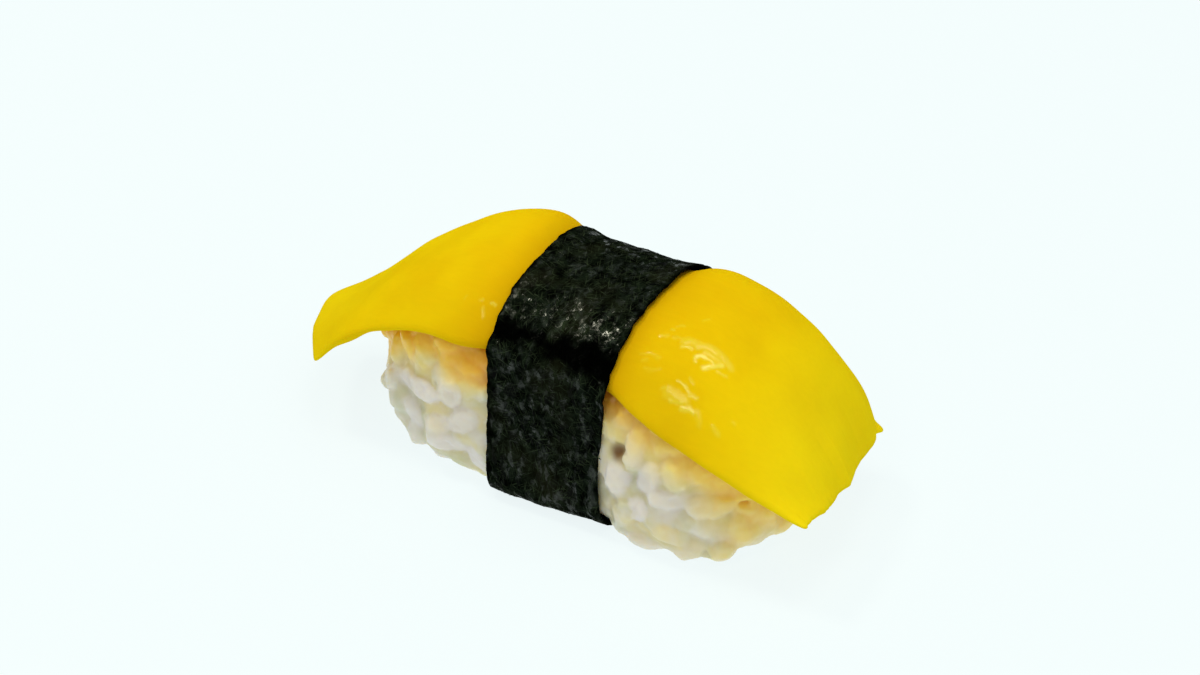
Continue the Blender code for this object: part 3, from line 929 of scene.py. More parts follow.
@dataclass
class YellowSlice:
    """The slice of pickled radish that lies over the rice."""

    finish: PickledRadish = PickledRadish()
    levels: int = 2
    fine_low: tuple[tuple[float, float], ...] = ((11.5, -12.8), (-11.0, -11.0))
    fine_high: tuple[tuple[float, float], ...] = ((27.5, -1.2), (-5.2, -7.8))
    fine_rounds: int = 3
    fine_relax: int = 14
    rim_rounds: int = 2
    swell_height: float = 0.16
    swell_size: float = 9.0
    swell_from_nori: float = 3.0
    folds: tuple[Fold, ...] = (
        Fold((17.5, -5.8), (18.3, -5.5), (19.1, -5.6), 0.45, 0.55),
        Fold((17.6, -6.5), (18.0, -6.4), (18.6, -6.3), 0.22, 0.8),
        Fold((19.1, -5.5), (21.2, -5.0), (23.4, -5.5), 0.4, 0.55),
        Fold((19.7, -6.8), (20.0, -6.4), (20.6, -6.4), 0.2, 1.0),
        Fold((20.5, -6.5), (21.1, -6.3), (21.8, -6.4), 0.17, 0.7),
        Fold((19.6, -6.6), (19.5, -7.0), (19.8, -7.3), 0.17, 0.6),
        Fold((20.9, -7.4), (21.7, -6.7), (22.5, -6.0), 0.26, 1.0),
        Fold((20.1, -5.9), (21.3, -5.7), (22.6, -5.9), 0.28, 0.5),
        Fold((22.5, -6.9), (23.0, -6.8), (23.5, -6.7), 0.18, 0.4),
        Fold((15.5, -5.2), (15.6, -5.2), (15.7, -5.2), 0.2, 0.6),
        Fold((15.8, -4.7), (16.1, -4.4), (16.4, -4.2), 0.18, 0.4),
        Fold((14.7, -6.4), (15.0, -6.2), (15.5, -6.1), 0.22, 0.35),
        Fold((16.3, -6.0), (16.6, -5.8), (17.1, -5.7), 0.22, 0.4),
        Fold((18.0, -2.2), (18.2, -1.9), (18.4, -1.7), 0.22, 0.3),
        Fold((17.5, -10.9), (17.8, -10.7), (18.3, -10.6), 0.2, 0.6),
        Fold((18.1, -10.9), (19.3, -10.9), (20.6, -10.8), 0.45, 0.5),
        Fold((18.8, -11.3), (19.5, -11.3), (20.3, -11.1), 0.22, 0.8),
        Fold((20.4, -11.4), (21.2, -11.2), (21.8, -11.3), 0.26, 0.9),
        Fold((18.8, -9.8), (19.7, -9.7), (20.6, -10.1), 0.14, 0.7),
        Fold((20.8, -10.2), (21.2, -10.1), (21.6, -10.1), 0.2, 0.6),
        Fold((22.2, -11.2), (22.6, -11.4), (22.9, -11.7), 0.32, 0.35),
        Fold((24.4, -11.3), (24.9, -11.5), (25.4, -11.6), 0.22, 0.45),
        Fold((26.3, -9.9), (26.4, -9.9), (26.5, -9.9), 0.22, 0.3),
        Fold((20.1, -9.0), (20.4, -9.1), (20.7, -9.1), 0.18, 0.35),
        Fold((13.5, -8.9), (14.7, -8.6), (15.9, -8.6), 0.16, 0.25),
        Fold((14.7, -10.0), (15.6, -9.9), (16.4, -9.4), 0.16, 0.25),
        Fold((14.0, -9.4), (14.3, -9.3), (14.6, -9.2), 0.2, 0.25),
        Fold((-9.9, -9.6), (-9.9, -9.5), (-9.8, -9.4), 0.18, 0.3),
        Fold((-8.0, -9.1), (-7.9, -9.0), (-7.7, -9.0), 0.16, 0.4),
        Fold((-6.6, -8.8), (-6.4, -8.7), (-6.2, -8.8), 0.18, 0.7),
        Fold((-7.2, -9.6), (-7.1, -9.9), (-6.9, -10.2), 0.22, 0.4),
    )
    fold_height: float = 0.12
    fold_search: float = 0.5
    upward: float = 0.2
    well_upward: float = 0.3
    wet_edge: float = 1.3
    wet_fall: float = 0.8
    fold_shake: float = 0.1
    fold_shake_size: float = 0.9
    grain_height: float = 0.012
    grain_size: float = 0.7
    tip: tuple[float, float] = (-30.8, -12.0)
    tip_drop: float = 0.85
    tip_reach: float = 3.6
    end_reach: float = 5.0
    end_depth: float = 8.0
    torn_reach: float = 0.7
    torn_depth: float = 1.75
    # The torn edge: at each Y, how far it stands out.
    torn: tuple[tuple[float, float], ...] = (
        (-15.0, 0.5), (-13.4, 0.5), (-12.4, 0.1), (-11.1, -0.05), (-9.9, 0.2), (-8.8, 0.6),
        (-6.6, 0.75), (-4.4, 0.5), (-3.0, 0.5), (-1.3, 1.0), (0.5, 0.6), (2.3, 0.25),
        (4.8, 0.05), (7.1, 0.15), (9.0, 0.2), (10.6, 0.0), (12.0, -0.45), (13.3, -0.75),
    )
    tooth_height: float = 0.1
    tooth_size: float = 1.1
    tooth_run: tuple[float, float, float] = (0.0, 1.0, 0.2)
    spike: tuple[float, float, float] = (33.9, 13.7, 7.3)
    spike_reach: float = 1.1
    spike_out: float = 1.05
    thin_reach: float = 15.0
    thin_right: float = 0.65
    thin_left: float = 0.35
    press_share: float = 0.85
    press_reach: float = 5.2

    def build(self) -> Object:
        """Make the slice in place of its solid.

        Returns:
            The finished slice.
        """
        piece = merged_copy(frame["nodes"]["yellow_slice"], "radish_slice")
        subdivide(piece, self.levels)
        low, high = box_of("yellow_slice")
        self.refine_skin(piece)
        refine(piece, (high[0] - self.end_reach, low[1] - 1), high[:2] + 1, self.rim_rounds)
        points, normals = points_of(piece.data), normals_of(piece.data)
        beside = beside_nori(points)
        rise = self.swell_height * waves(points, self.swell_size, seed=1.0)
        rise *= smooth_step(beside / self.swell_from_nori)
        wet, crinkled = self.crinkle_relief(points, normals)
        points = points + normals * (rise + crinkled)[:, None]
        points[:, 0] += self.ragged_end(points, high[0])
        from_tip = np.linalg.norm(points[:, :2] - self.tip, axis=1)
        points[:, 2] -= self.tip_drop * smooth_step(1 - from_tip / self.tip_reach)
        move_points(piece.data, points)
        right = self.thin_right * smooth_step((points[:, 0] - high[0]) / self.thin_reach + 1)
        left = self.thin_left * smooth_step((low[0] - points[:, 0]) / self.thin_reach + 1)
        # The wet creases are painted a paler lemon where the coat catches the lamps: a painted highlight
        # tint.
        store(piece.data, "wet", wet)
        store(piece.data, "thin", np.maximum(right, left))
        # Beside the nori the slice's colour is darkened: painted shade.
        store(piece.data, "pressed", self.press_share * np.exp(-beside / self.press_reach))
        piece.data.materials.append(self.finish.material())
        ride(piece, "yellow_slice")
        return piece

    def refine_skin(self, piece: Object) -> None:
        """Split the skin finely where it is creased, and round the split faces again.

        Args:
            piece: The slice.
        """
        for low, high in zip(self.fine_low, self.fine_high):
            refine(piece, low, high, self.fine_rounds)
        points = points_of(piece.data)
        rounded = relax(points, edges_of(piece.data), self.fine_relax)
        up = normals_of(piece.data)[:, 2] > self.well_upward
        for low, high in zip(self.fine_low, self.fine_high):
            inside = up & (points[:, :2] > low).all(axis=1) & (points[:, :2] < high).all(axis=1)
            points[inside] = rounded[inside]
        move_points(piece.data, points)

    def crinkle_relief(self, points: np.ndarray, normals: np.ndarray) -> tuple[np.ndarray, np.ndarray]:
        """Crease the upper skin along its folds.

        Args:
            points: The skin's points.
            normals: Their normals.

        Returns:
            How wet the skin is at each point, from 0 to 1, which also sets its painted highlight tint,
            and the creases' height there.
        """
        wet = np.zeros(len(points))
        relief = np.zeros(len(points))
        upper = normals[:, 2] > self.upward
        for fold in self.folds:
            length = np.abs(np.subtract(fold.end, fold.start)).max()
            reach = length + 3 * fold.half_width + self.fold_search
            near = np.nonzero(upper & (np.linalg.norm(points[:, :2] - fold.middle, axis=1) < reach))[0]
            places = points[near]
            shake = np.stack([waves(places, self.fold_shake_size, seed) for seed in (3.0, 4.0)], axis=1)
            away = fold.away(places[:, :2] + self.fold_shake * shake)
            damp = fold.wet * smooth_step(self.wet_edge - self.wet_fall * away / fold.half_width)
            wet[near] = np.maximum(wet[near], damp)
            ridge = self.fold_height * fold.half_width * bell(away, 0.0, fold.half_width)
            relief[near] = np.maximum(relief[near], ridge)
        damp = np.nonzero(wet > 0)[0]
        relief[damp] += self.grain_height * wet[damp] * waves(points[damp], self.grain_size, seed=5.0)
        return wet, relief

    def ragged_end(self, points: np.ndarray, end: float) -> np.ndarray:
        """Tear the right end, with the spike of its far corner.

        Args:
            points: The slice's points.
            end: The end's X.

        Returns:
            How far the torn edge stands out along X at each point.
        """
        near = smooth_step((points[:, 0] - end + self.end_depth) / self.end_reach)
        rim = smooth_step((points[:, 0] - end + self.torn_depth) / self.torn_reach)
        places, outs = zip(*self.torn)
        shape = np.interp(points[:, 1], places, outs)
        shape += self.spike_out * spot(points, self.spike, self.spike_reach)
        teeth = waves(points * np.array(self.tooth_run), self.tooth_size, seed=7.0)
        return near * shape + rim * self.tooth_height * teeth


# ---------------------------------------------------------------- nori


@dataclass(frozen=True)
class Glint:
    """A patch of laver on the near shoulder that dried smooth and glints, its colour also painted
    lighter as painted sheen, with its middle in X and Y.
    """

    middle: tuple[float, float]
    reach: float
    strength: float


@dataclass
class NoriBand:
    """The strip of nori wrapped round the slice and the rice."""

    finish: ToastedNori = ToastedNori()
    steps_round: int = 420
    steps_across: int = 60
    half_height: float = 13.0
    waist: float = 0.9
    waist_height: float = 10.0
    waist_reach: float = 5.5
    smooth_rounds: int = 6
    slack: float = 0.08
    thick: float = 0.26
    look_in: float = 0.2
    floor_gap: float = 0.02
    foot_out: float = 0.45
    foot_out_left: float = 0.6
    foot_reach: float = 4.5
    foot_side: float = 10.0
    relief: float = 0.09
    relief_size: float = 2.6
    ripple_share: float = 0.45
    ripple_size: float = 0.9
    ragged: float = 0.13
    ragged_size: float = 1.4
    ragged_depth: float = 0.12
    wander_share: float = 0.3
    wander_size: float = 7.0
    strand_count: int = 1900
    strand_area: float = 1500.0
    strand_length: float = 1.2
    strand_width: float = 0.15
    strand_height: float = 0.035
    strand_inset: float = 0.8
    strand_lean: float = 0.06
    strand_cuts: tuple[float, ...] = (-0.9, -0.45, 0.1, 0.6, 0.95)
    strand_sides: tuple[tuple[float, float], ...] = ((-0.5, -0.3), (0.5, -0.3), (0.3, 0.7), (-0.3, 0.7))
    strand_narrow: float = 0.75
    strand_sink: float = 0.8
    strand_bend: float = 0.12
    strand_curl: float = 2.2
    strand_open: float = 0.99
    strand_least: tuple[float, float, float] = (0.4, 0.6, 0.5)
    strand_most: tuple[float, float, float] = (1.3, 1.2, 1.3)
    uneven: float = 0.4
    uneven_size: float = 1.8
    tight_share: float = 0.97
    tight_height: float = 23.2
    tight_fall: float = 0.4
    tight_fall_from: float = 0.6
    tight_half: tuple[float, float, float, float] = (1.3, 0.65, 1.2, 1.9)
    tight_fade: float = 1.4
    edge_share: float = 0.8
    edge_level: float = 1.4
    edge_dark: float = 0.45
    glints: tuple[Glint, ...] = (
        Glint((3.0, -8.8), 0.6, 0.9),
        Glint((4.2, -7.6), 0.4, 0.7),
        Glint((5.8, -8.4), 0.5, 0.9),
        Glint((8.5, -8.1), 0.45, 0.9),
        Glint((9.6, -7.4), 0.4, 0.7),
        Glint((5.6, -10.4), 0.3, 0.6),
        Glint((0.4, -11.2), 0.45, 0.5),
        Glint((-3.3, -9.4), 0.4, 0.5),
        Glint((-0.9, -8.2), 0.45, 0.5),
        Glint((1.2, -6.3), 0.4, 0.3),
        Glint((0.9, -9.2), 0.4, 0.6),
        Glint((6.7, -7.5), 0.35, 0.6),
        Glint((7.0, -9.3), 0.35, 0.7),
        Glint((9.6, -8.7), 0.35, 0.6),
        Glint((-2.3, -10.4), 0.4, 0.45),
        Glint((3.4, -5.6), 0.45, 0.35),
        Glint((7.4, -5.8), 0.4, 0.3),
        Glint((2.2, -10.2), 0.4, 0.6),
    )
    glint_edge: float = 1.5
    glint_fray: float = 0.35
    glint_fray_size: float = 0.5
    worn_share: float = 0.8
    worn_height: float = 2.6

    def build(self) -> Object:
        """Make the band in place of its solid.

        Returns:
            The finished band.
        """
        points, faces, sheet = self.ring()
        piece = new_piece("nori_sheet", points, faces)
        layer = piece.data.uv_layers.new(name="sheet")
        corners = read(piece.data.loops, "vertex_index", 1, np.int64)[:, 0]
        layer.data.foreach_set("uv", self.unwrapped(sheet, corners).astype(np.float32).ravel())
        across = sheet[:, 1]
        inner = (across > self.strand_inset) & (across < across.max() - self.strand_inset)
        inner[len(points) // 2 :] = False
        store(piece.data, "open", inner)
        self.shade(piece.data, points)
        self.lay_strands(piece)
        ride(piece, "nori_band")
        return piece

    def shade(self, mesh: Mesh, points: np.ndarray) -> None:
        """Store the painted shade of the crease and the cut edges, where the foot is painted olive, and
        where the sheet glints.

        Args:
            mesh: The band's mesh.
            points: Its points.
        """
        width = np.ptp(points[:, 0])
        share = (points[:, 0] - points[:, 0].min()) / width
        uneven = self.uneven * waves(points, self.uneven_size, seed=14.0)
        # Painted shade: the crease below the slice's near edge and both cut edges are painted near
        # black.
        fallen = smooth_step((share - self.tight_fall_from) / (1 - self.tight_fall_from))
        middle = self.tight_height - self.tight_fall * fallen
        half = np.interp(share, np.linspace(0, 1, len(self.tight_half)), self.tight_half)
        beside = np.abs(points[:, 2] - middle) - half
        tight = self.tight_share * smooth_step(0.5 - (beside + uneven) / self.tight_fade)
        tight *= points[:, 1] < 0
        rim = np.minimum(share, 1 - share) * width
        rim_dark = self.edge_share * smooth_step(self.edge_level - (rim + uneven) / self.edge_dark)
        # The sheet turns olive towards its foot.
        worn = self.worn_share * smooth_step(1 - (points[:, 2] + 2 * uneven) / self.worn_height)
        store(mesh, "tight", np.maximum(tight, rim_dark))
        store(mesh, "worn", worn)
        store(mesh, "foil", self.foil(points))

    def foil(self, points: np.ndarray) -> np.ndarray:
        """Lay the glints on the near shoulder.

        Args:
            points: The band's points.

        Returns:
            How strongly each point glints.
        """
        axis_height = (points[:, 2].min() + points[:, 2].max()) / 2
        shoulder = (points[:, 2] > axis_height) & (points[:, 1] < 0)
        frayed = self.glint_edge + self.glint_fray * waves(points, self.glint_fray_size, seed=15.0)
        foil = np.zeros(len(points))
        for glint in self.glints:
            away = np.linalg.norm(points[:, :2] - glint.middle, axis=1) / glint.reach
            foil = np.maximum(foil, glint.strength * smooth_step(frayed - away) * shoulder)
        return foil

    def ring(self) -> tuple[np.ndarray, list[tuple[int, ...]], np.ndarray]:
        """Work out the closed sheet.

        Returns:
            Its points in millimetres, outer skin first, its faces, and each point's place on the
            flat sheet: along it and across it, in millimetres.
        """
        low, high = box_of("nori_band")
        axis = (low + high) / 2
        angles = -math.pi / 2 + np.linspace(0, 2 * math.pi, self.steps_round, endpoint=False)
        shares = np.linspace(0, 1, self.steps_across + 1)
        heights = axis[2] + self.half_height * np.sin(angles)
        right = high[0] - self.waist * bell(heights, self.waist_height, self.waist_reach)
        looks = low[0] + self.look_in + (right - low[0] - 2 * self.look_in) * shares[:, None]
        radii = self.wrapped_radii(axis, angles, looks)
        along = np.cumsum(np.full(len(angles), radii.mean() * 2 * math.pi / len(angles)))
        flat = np.stack(np.broadcast_arrays(along[None, :], looks - low[0]), axis=-1).reshape(-1, 2)
        xs = low[0] + (right - low[0]) * shares[:, None] + self.torn_edges(angles, shares)
        outwards = np.stack([np.zeros_like(angles), np.cos(angles), np.sin(angles)], axis=-1)
        outwards = np.tile(outwards, (len(shares), 1))
        skins = []
        for lift in (self.thick, 0.0):
            skin = np.array((0.0, axis[1], axis[2])) + (radii + lift).reshape(-1, 1) * outwards
            skin[:, 0] = xs.ravel()
            skins.append(skin)
        bumps = waves(skins[0], self.relief_size, seed=11.0)
        bumps += self.ripple_share * waves(skins[0], self.ripple_size, seed=12.0)
        left_share = np.repeat(1 - shares, len(angles))
        for skin in skins:
            skin += outwards * (self.relief * bumps)[:, None]
            near = smooth_step(-skin[:, 1] / self.foot_side)
            foot = smooth_step(1 - skin[:, 2] / self.foot_reach) * near
            skin[:, 1] -= foot * (self.foot_out + self.foot_out_left * left_share)
            skin[:, 2] = np.maximum(skin[:, 2], self.floor_gap)
        return np.concatenate(skins), self.ring_faces(), np.concatenate([flat, flat])

    def wrapped_radii(self, axis: np.ndarray, angles: np.ndarray, looks: np.ndarray) -> np.ndarray:
        """Measure how far the sheet's inner skin lies from the band's axis.

        Args:
            axis: The middle of the band.
            angles: The directions round it.
            looks: The X of each look, one row for each step across.

        Returns:
            The radii, one row for each step across.
        """
        solid = tree_of(frame["nodes"]["nori_band"].data)
        radii = np.empty(looks.shape)
        for (i, j), x in np.ndenumerate(looks):
            out = Vector((0.0, math.cos(angles[j]), math.sin(angles[j])))
            radii[i, j] = solid.ray_cast(Vector((x, axis[1], axis[2])), out)[3]
        for _ in range(self.smooth_rounds):
            radii = (np.roll(radii, 1, axis=1) + 2 * radii + np.roll(radii, -1, axis=1)) / 4
        return radii + self.slack

    def torn_edges(self, angles: np.ndarray, shares: np.ndarray) -> np.ndarray:
        """Make both cut edges a little ragged.

        Args:
            angles: The directions round the band.
            shares: The steps across it, from 0 to 1.

        Returns:
            How far each point moves along X, one row for each step across.
        """
        rim = np.stack([np.cos(angles), np.sin(angles), np.zeros_like(angles)], axis=-1)
        rim *= self.half_height
        moved = 0.0
        for inwards, seed in ((shares, 21.0), (1 - shares, 23.0)):
            teeth = waves(rim, self.ragged_size, seed, octaves=3)
            teeth += self.wander_share * waves(rim, self.wander_size, seed + 1)
            moved = moved + np.clip(1 - inwards / self.ragged_depth, 0, 1)[:, None] * teeth
        return self.ragged * moved

    def ring_faces(self) -> list[tuple[int, ...]]:
        """Join the points of both skins.

        Returns:
            The faces of the outer skin, the inner skin and both rims.
        """
        round_, across = self.steps_round, self.steps_across + 1
        inner = round_ * across
        faces = []
        for j in range(round_):
            k = (j + 1) % round_
            for i in range(across - 1):
                low, high = i * round_, (i + 1) * round_
                faces.append((low + j, low + k, high + k, high + j))
                faces.append((inner + high + j, inner + high + k, inner + low + k, inner + low + j))
            last = (across - 1) * round_
            faces.append((inner + j, inner + k, k, j))
            faces.append((last + j, last + k, inner + last + k, inner + last + j))
        return faces

    def unwrapped(self, sheet: np.ndarray, corners: np.ndarray) -> np.ndarray:
        """Carry the seam's far side past the sheet's end, so that no face spans the whole sheet.

        Args:
            sheet: Each point's place on the flat sheet.
            corners: The point at each face corner.

        Returns:
            Each face corner's place on the flat sheet.
        """
        places = sheet[corners].reshape(-1, 4, 2)
        length = sheet[:, 0].max() + sheet[:, 0].min()
        jumps = np.ptp(places[:, :, 0], axis=1) > length / 2
        wrapped = jumps[:, None] & (places[:, :, 0] < length / 2)
        places[:, :, 0] += np.where(wrapped, length, 0.0)
        return places.reshape(-1, 2)

    def strand_mesh(self) -> Object:
        """Make one flat dried strand along X, a little higher in its middle.

        Returns:
            A small mesh object.
        """
        points = []
        faces = [(3, 2, 1, 0)]
        for share in self.strand_cuts:
            width = self.strand_width * (1 - self.strand_narrow * share * share)
            height = self.strand_height * (1 - self.strand_sink * share * share)
            bend = self.strand_bend * math.sin(self.strand_curl * share)
            x = self.strand_length / 2 * share
            points += [(x, bend + width * a, height * b) for a, b in self.strand_sides]
        for low in range(0, len(points) - 4, 4):
            after = low + 4
            faces += [(low + i, low + (i + 1) % 4, after + (i + 1) % 4, after + i) for i in range(4)]
        faces.append(tuple(len(points) - 4 + i for i in range(4)))
        return new_piece("strand", points, faces)

    def lay_strands(self, piece: Object) -> None:
        """Scatter dried strands over the band's outside and join them to it.

        Args:
            piece: The band.
        """
        strand = self.strand_mesh()
        net = GeometryTree("nori_strands")
        source = net.start.outputs["Geometry"]
        form = net.input("Strand", "NodeSocketObject", strand)
        each_metre = self.strand_count / (self.strand_area * MM * MM)
        density = net.input("Density", "NodeSocketFloat", each_metre)
        seed = net.input("Seed", "NodeSocketInt", 4)
        links = {0: net.stored("open"), 1: self.strand_open}
        shown = net.node("ShaderNodeMath", links, operation="GREATER_THAN").outputs[0]
        links = {"Mesh": source, "Density": density, "Seed": seed, "Selection": shown}
        spread = net.node("GeometryNodeDistributePointsOnFaces", links).outputs
        turn = net.turn(net.draw((0.0, -self.strand_lean, 0.0), (0.0, self.strand_lean, math.pi), 2))
        links = {"Rotation": spread["Rotation"], "Rotate By": turn}
        turned = net.node("FunctionNodeRotateRotation", links, rotation_space="LOCAL").outputs[0]
        scale = net.draw(self.strand_least, self.strand_most, 3)
        links = {"Object": form, "As Instance": True}
        single = net.node("GeometryNodeObjectInfo", links).outputs["Geometry"]
        strands = net.scatter(spread["Points"], single, 0, turned, scale)
        both = net.node("GeometryNodeJoinGeometry", {0: [source, strands]}).outputs[0]
        net.apply(piece, both, self.finish.material())
        bpy.data.objects.remove(strand, do_unlink=True)


# ---------------------------------------------------------------- rice


class Side(Enum):
    """The two ends of the loaf that show beside the nori."""

    LEFT = "left"
    RIGHT = "right"


class GrainForm(Enum):
    """Forms of a cooked grain, by length, width, bend and bluntness in millimetres."""

    WHOLE = (5.6, 3.4, 0.15, 0.68)
    LONG = (6.3, 3.2, 0.3, 0.72)
    PLUMP = (5.1, 3.7, 0.05, 0.64)
    BENT = (5.7, 3.3, 0.5, 0.7)
    BROKEN = (4.3, 3.4, 0.1, 0.62)

    def shell(self, sides: int = 10, rings: int = 6, back: float = 0.86, belly: float = 0.94) -> Object:
        """Make the closed grain along X, with a flatter back.

        Args:
            sides: Points round it.
            rings: Rings between its two ends.
            back: How high its upper half is for its width.
            belly: How deep its lower half is.

        Returns:
            A small mesh object.
        """
        length, width, bend, blunt = self.value
        points = [(-length / 2, 0.0, -bend)]
        for ring in range(rings):
            turn = math.pi * (ring + 1) / (rings + 1)
            x = -length / 2 * math.cos(turn)
            radius = width / 2 * math.sin(turn) ** blunt
            dip = -bend * math.cos(turn) ** 2
            for side in range(sides):
                angle = 2 * math.pi * side / sides
                up = math.sin(angle) * (back if math.sin(angle) > 0 else belly)
                points.append((x, radius * math.cos(angle), dip + radius * up))
        points.append((length / 2, 0.0, -bend))
        faces = []
        last = 1 + (rings - 1) * sides
        for side in range(sides):
            after = (side + 1) % sides
            faces.append((0, 1 + after, 1 + side))
            faces.append((last + side, last + after, len(points) - 1))
            for ring in range(rings - 1):
                low, high = 1 + ring * sides, 1 + (ring + 1) * sides
                faces.append((low + side, low + after, high + after, high + side))
        return new_piece(f"grain_{self.name.lower()}", points, faces)


@dataclass(frozen=True)
class GrainLayer:
    """A layer of grains.

    Their middles lie between a lowest and a highest place over the core. A crowding of 1 lets
    them just touch.
    """

    lowest: float
    highest: float
    crowding: float
    tries: int


@dataclass(frozen=True)
class ShownGrain:
    """A grain that the photograph shows plainly, with how white it is and how far it is raised."""

    middle: tuple[float, float, float]
    along: tuple[float, float, float]
    form: GrainForm
    tone: float
    raised: float = 0.0


@dataclass(frozen=True)
class Pit:
    """A pit between grains."""

    middle: tuple[float, float, float]
    reach: float

    def holds(self, point: np.ndarray) -> bool:
        """Return whether a point lies in the pit."""
        return bool(np.linalg.norm(point - self.middle) < self.reach)


@dataclass(frozen=True)
class Dent:
    """A place where the loaf was pressed out of shape, with how far its middle was pushed."""

    middle: tuple[float, float, float]
    reach: float
    push: tuple[float, float, float]


class GrainBed:
    """Grains that lie side by side on a skin.

    Each counts as a row of three discs when it looks for room.
    """

    def __init__(self, skin: Mesh, seed: int) -> None:
        """Start an empty bed on a skin.

        Args:
            skin: The mesh to lie on, with the attribute "bare" where grains may lie.
            seed: What every random choice starts from.
        """
        self.random = np.random.default_rng(seed)
        self.points, self.normals = points_of(skin), normals_of(skin)
        self.corners = triangles_of(skin)
        a, b, c = (self.points[self.corners[:, i]] for i in range(3))
        area = np.linalg.norm(np.cross(b - a, c - a), axis=1)
        area *= stored(skin, "bare")[self.corners].min(axis=1) > 0.5
        self.share = area / area.sum()
        self.discs = np.empty((0, 3))
        self.radii = np.empty(0)
        self.middles: list[np.ndarray] = []
        self.turns: list[tuple[float, float, float]] = []
        self.forms: list[int] = []
        self.tones: list[float] = []

    def place(self) -> tuple[np.ndarray, np.ndarray]:
        """Choose a random place on the bare skin.

        Returns:
            The place and the skin's normal there.
        """
        face = self.corners[self.random.choice(len(self.corners), p=self.share)]
        u, v = np.sort(self.random.random(2))
        weights = np.array([u, v - u, 1 - v])
        normal = weights @ self.normals[face]
        return weights @ self.points[face], normal / np.linalg.norm(normal)

    def row(self, middle: np.ndarray, along: np.ndarray, form: GrainForm) -> tuple[np.ndarray, float]:
        """Cover a grain with three discs.

        Args:
            middle: The grain's middle.
            along: Its direction.
            form: Its form.

        Returns:
            The discs' middles and their radius.
        """
        length, width = form.value[:2]
        reach = (length - width) / 2
        return np.array([middle - reach * along, middle, middle + reach * along]), width / 2

    def has_room(self, discs: np.ndarray, radius: float, crowding: float) -> bool:
        """Return whether a row of discs keeps clear of all the others."""
        gaps = np.linalg.norm(discs[:, None] - self.discs[None], axis=2)
        return bool((gaps > crowding * (self.radii + radius)).all())

    def lay(
        self,
        middle: np.ndarray,
        normal: np.ndarray,
        along: np.ndarray,
        form: GrainForm,
        tone: float,
        room: float = 1.0,
    ) -> None:
        """Add a grain to the bed.

        Args:
            middle: Its middle.
            normal: The skin's normal under it.
            along: Its direction.
            form: Its form.
            tone: How white it is, from 0 to 1.
            room: How much wider it counts, so that later grains cover less of it.
        """
        discs, radius = self.row(middle, along, form)
        self.discs = np.vstack([self.discs, discs])
        self.radii = np.append(self.radii, [room * radius] * len(discs))
        across = np.cross(normal, along)
        across /= np.linalg.norm(across)
        axes = np.stack([along, across, np.cross(along, across)], axis=1)
        self.middles.append(middle)
        self.turns.append(tuple(Matrix(axes.tolist()).to_euler()))
        self.forms.append(list(GrainForm).index(form))
        self.tones.append(tone)

    def lay_shown(self, grain: ShownGrain, core: BVHTree, lift: float, search: float) -> None:
        """Add a grain that the photograph shows, if it belongs to this end of the loaf.

        Args:
            grain: The grain.
            core: The core's search tree.
            lift: How high its middle lies over the core.
            search: How far from the core a grain of this end may be given.
        """
        foot, normal, _, gap = core.find_nearest(Vector(grain.middle))
        if gap > search:
            return
        normal = np.array(normal)
        along = np.array(grain.along) - normal * np.dot(grain.along, normal)
        along /= np.linalg.norm(along)
        middle = np.array(foot) + normal * (lift + grain.raised)
        self.lay(middle, normal, along, grain.form, grain.tone, 1 + grain.raised)

    def lay_layer(self, layer: GrainLayer, pits: Sequence[Pit], tilt: float) -> None:
        """Fill a layer with grains where there is room.

        Args:
            layer: The layer.
            pits: Places that stay open.
            tilt: How far, in degrees, a grain may lean out of the skin.
        """
        forms = list(GrainForm)
        lean = math.tan(math.radians(tilt))
        for _ in range(layer.tries):
            foot, normal = self.place()
            middle = foot + normal * self.random.uniform(layer.lowest, layer.highest)
            if any(pit.holds(middle) for pit in pits):
                continue
            form = forms[self.random.integers(len(forms))]
            along = np.cross(normal, self.random.normal(size=3))
            along = along / np.linalg.norm(along) + normal * self.random.uniform(-lean, lean)
            along /= np.linalg.norm(along)
            if self.has_room(*self.row(middle, along, form), layer.crowding):
                self.lay(middle, normal, along, form, self.random.random())

    def seeds(self, least: float, most: float) -> Object:
        """Make one point for each grain, with its turn, its stretch, its form and its tone.

        Args:
            least: The least stretch of a grain along an axis.
            most: The most.

        Returns:
            The points.
        """
        piece = new_piece("grains", self.middles, [])
        stretch = self.random.uniform(least, most, (len(self.middles), 3))
        store(piece.data, "turn", self.turns, "FLOAT_VECTOR")
        store(piece.data, "stretch", stretch, "FLOAT_VECTOR")
        store(piece.data, "form", self.forms, "INT")
        store(piece.data, "grain_tone", self.tones)
        return piece


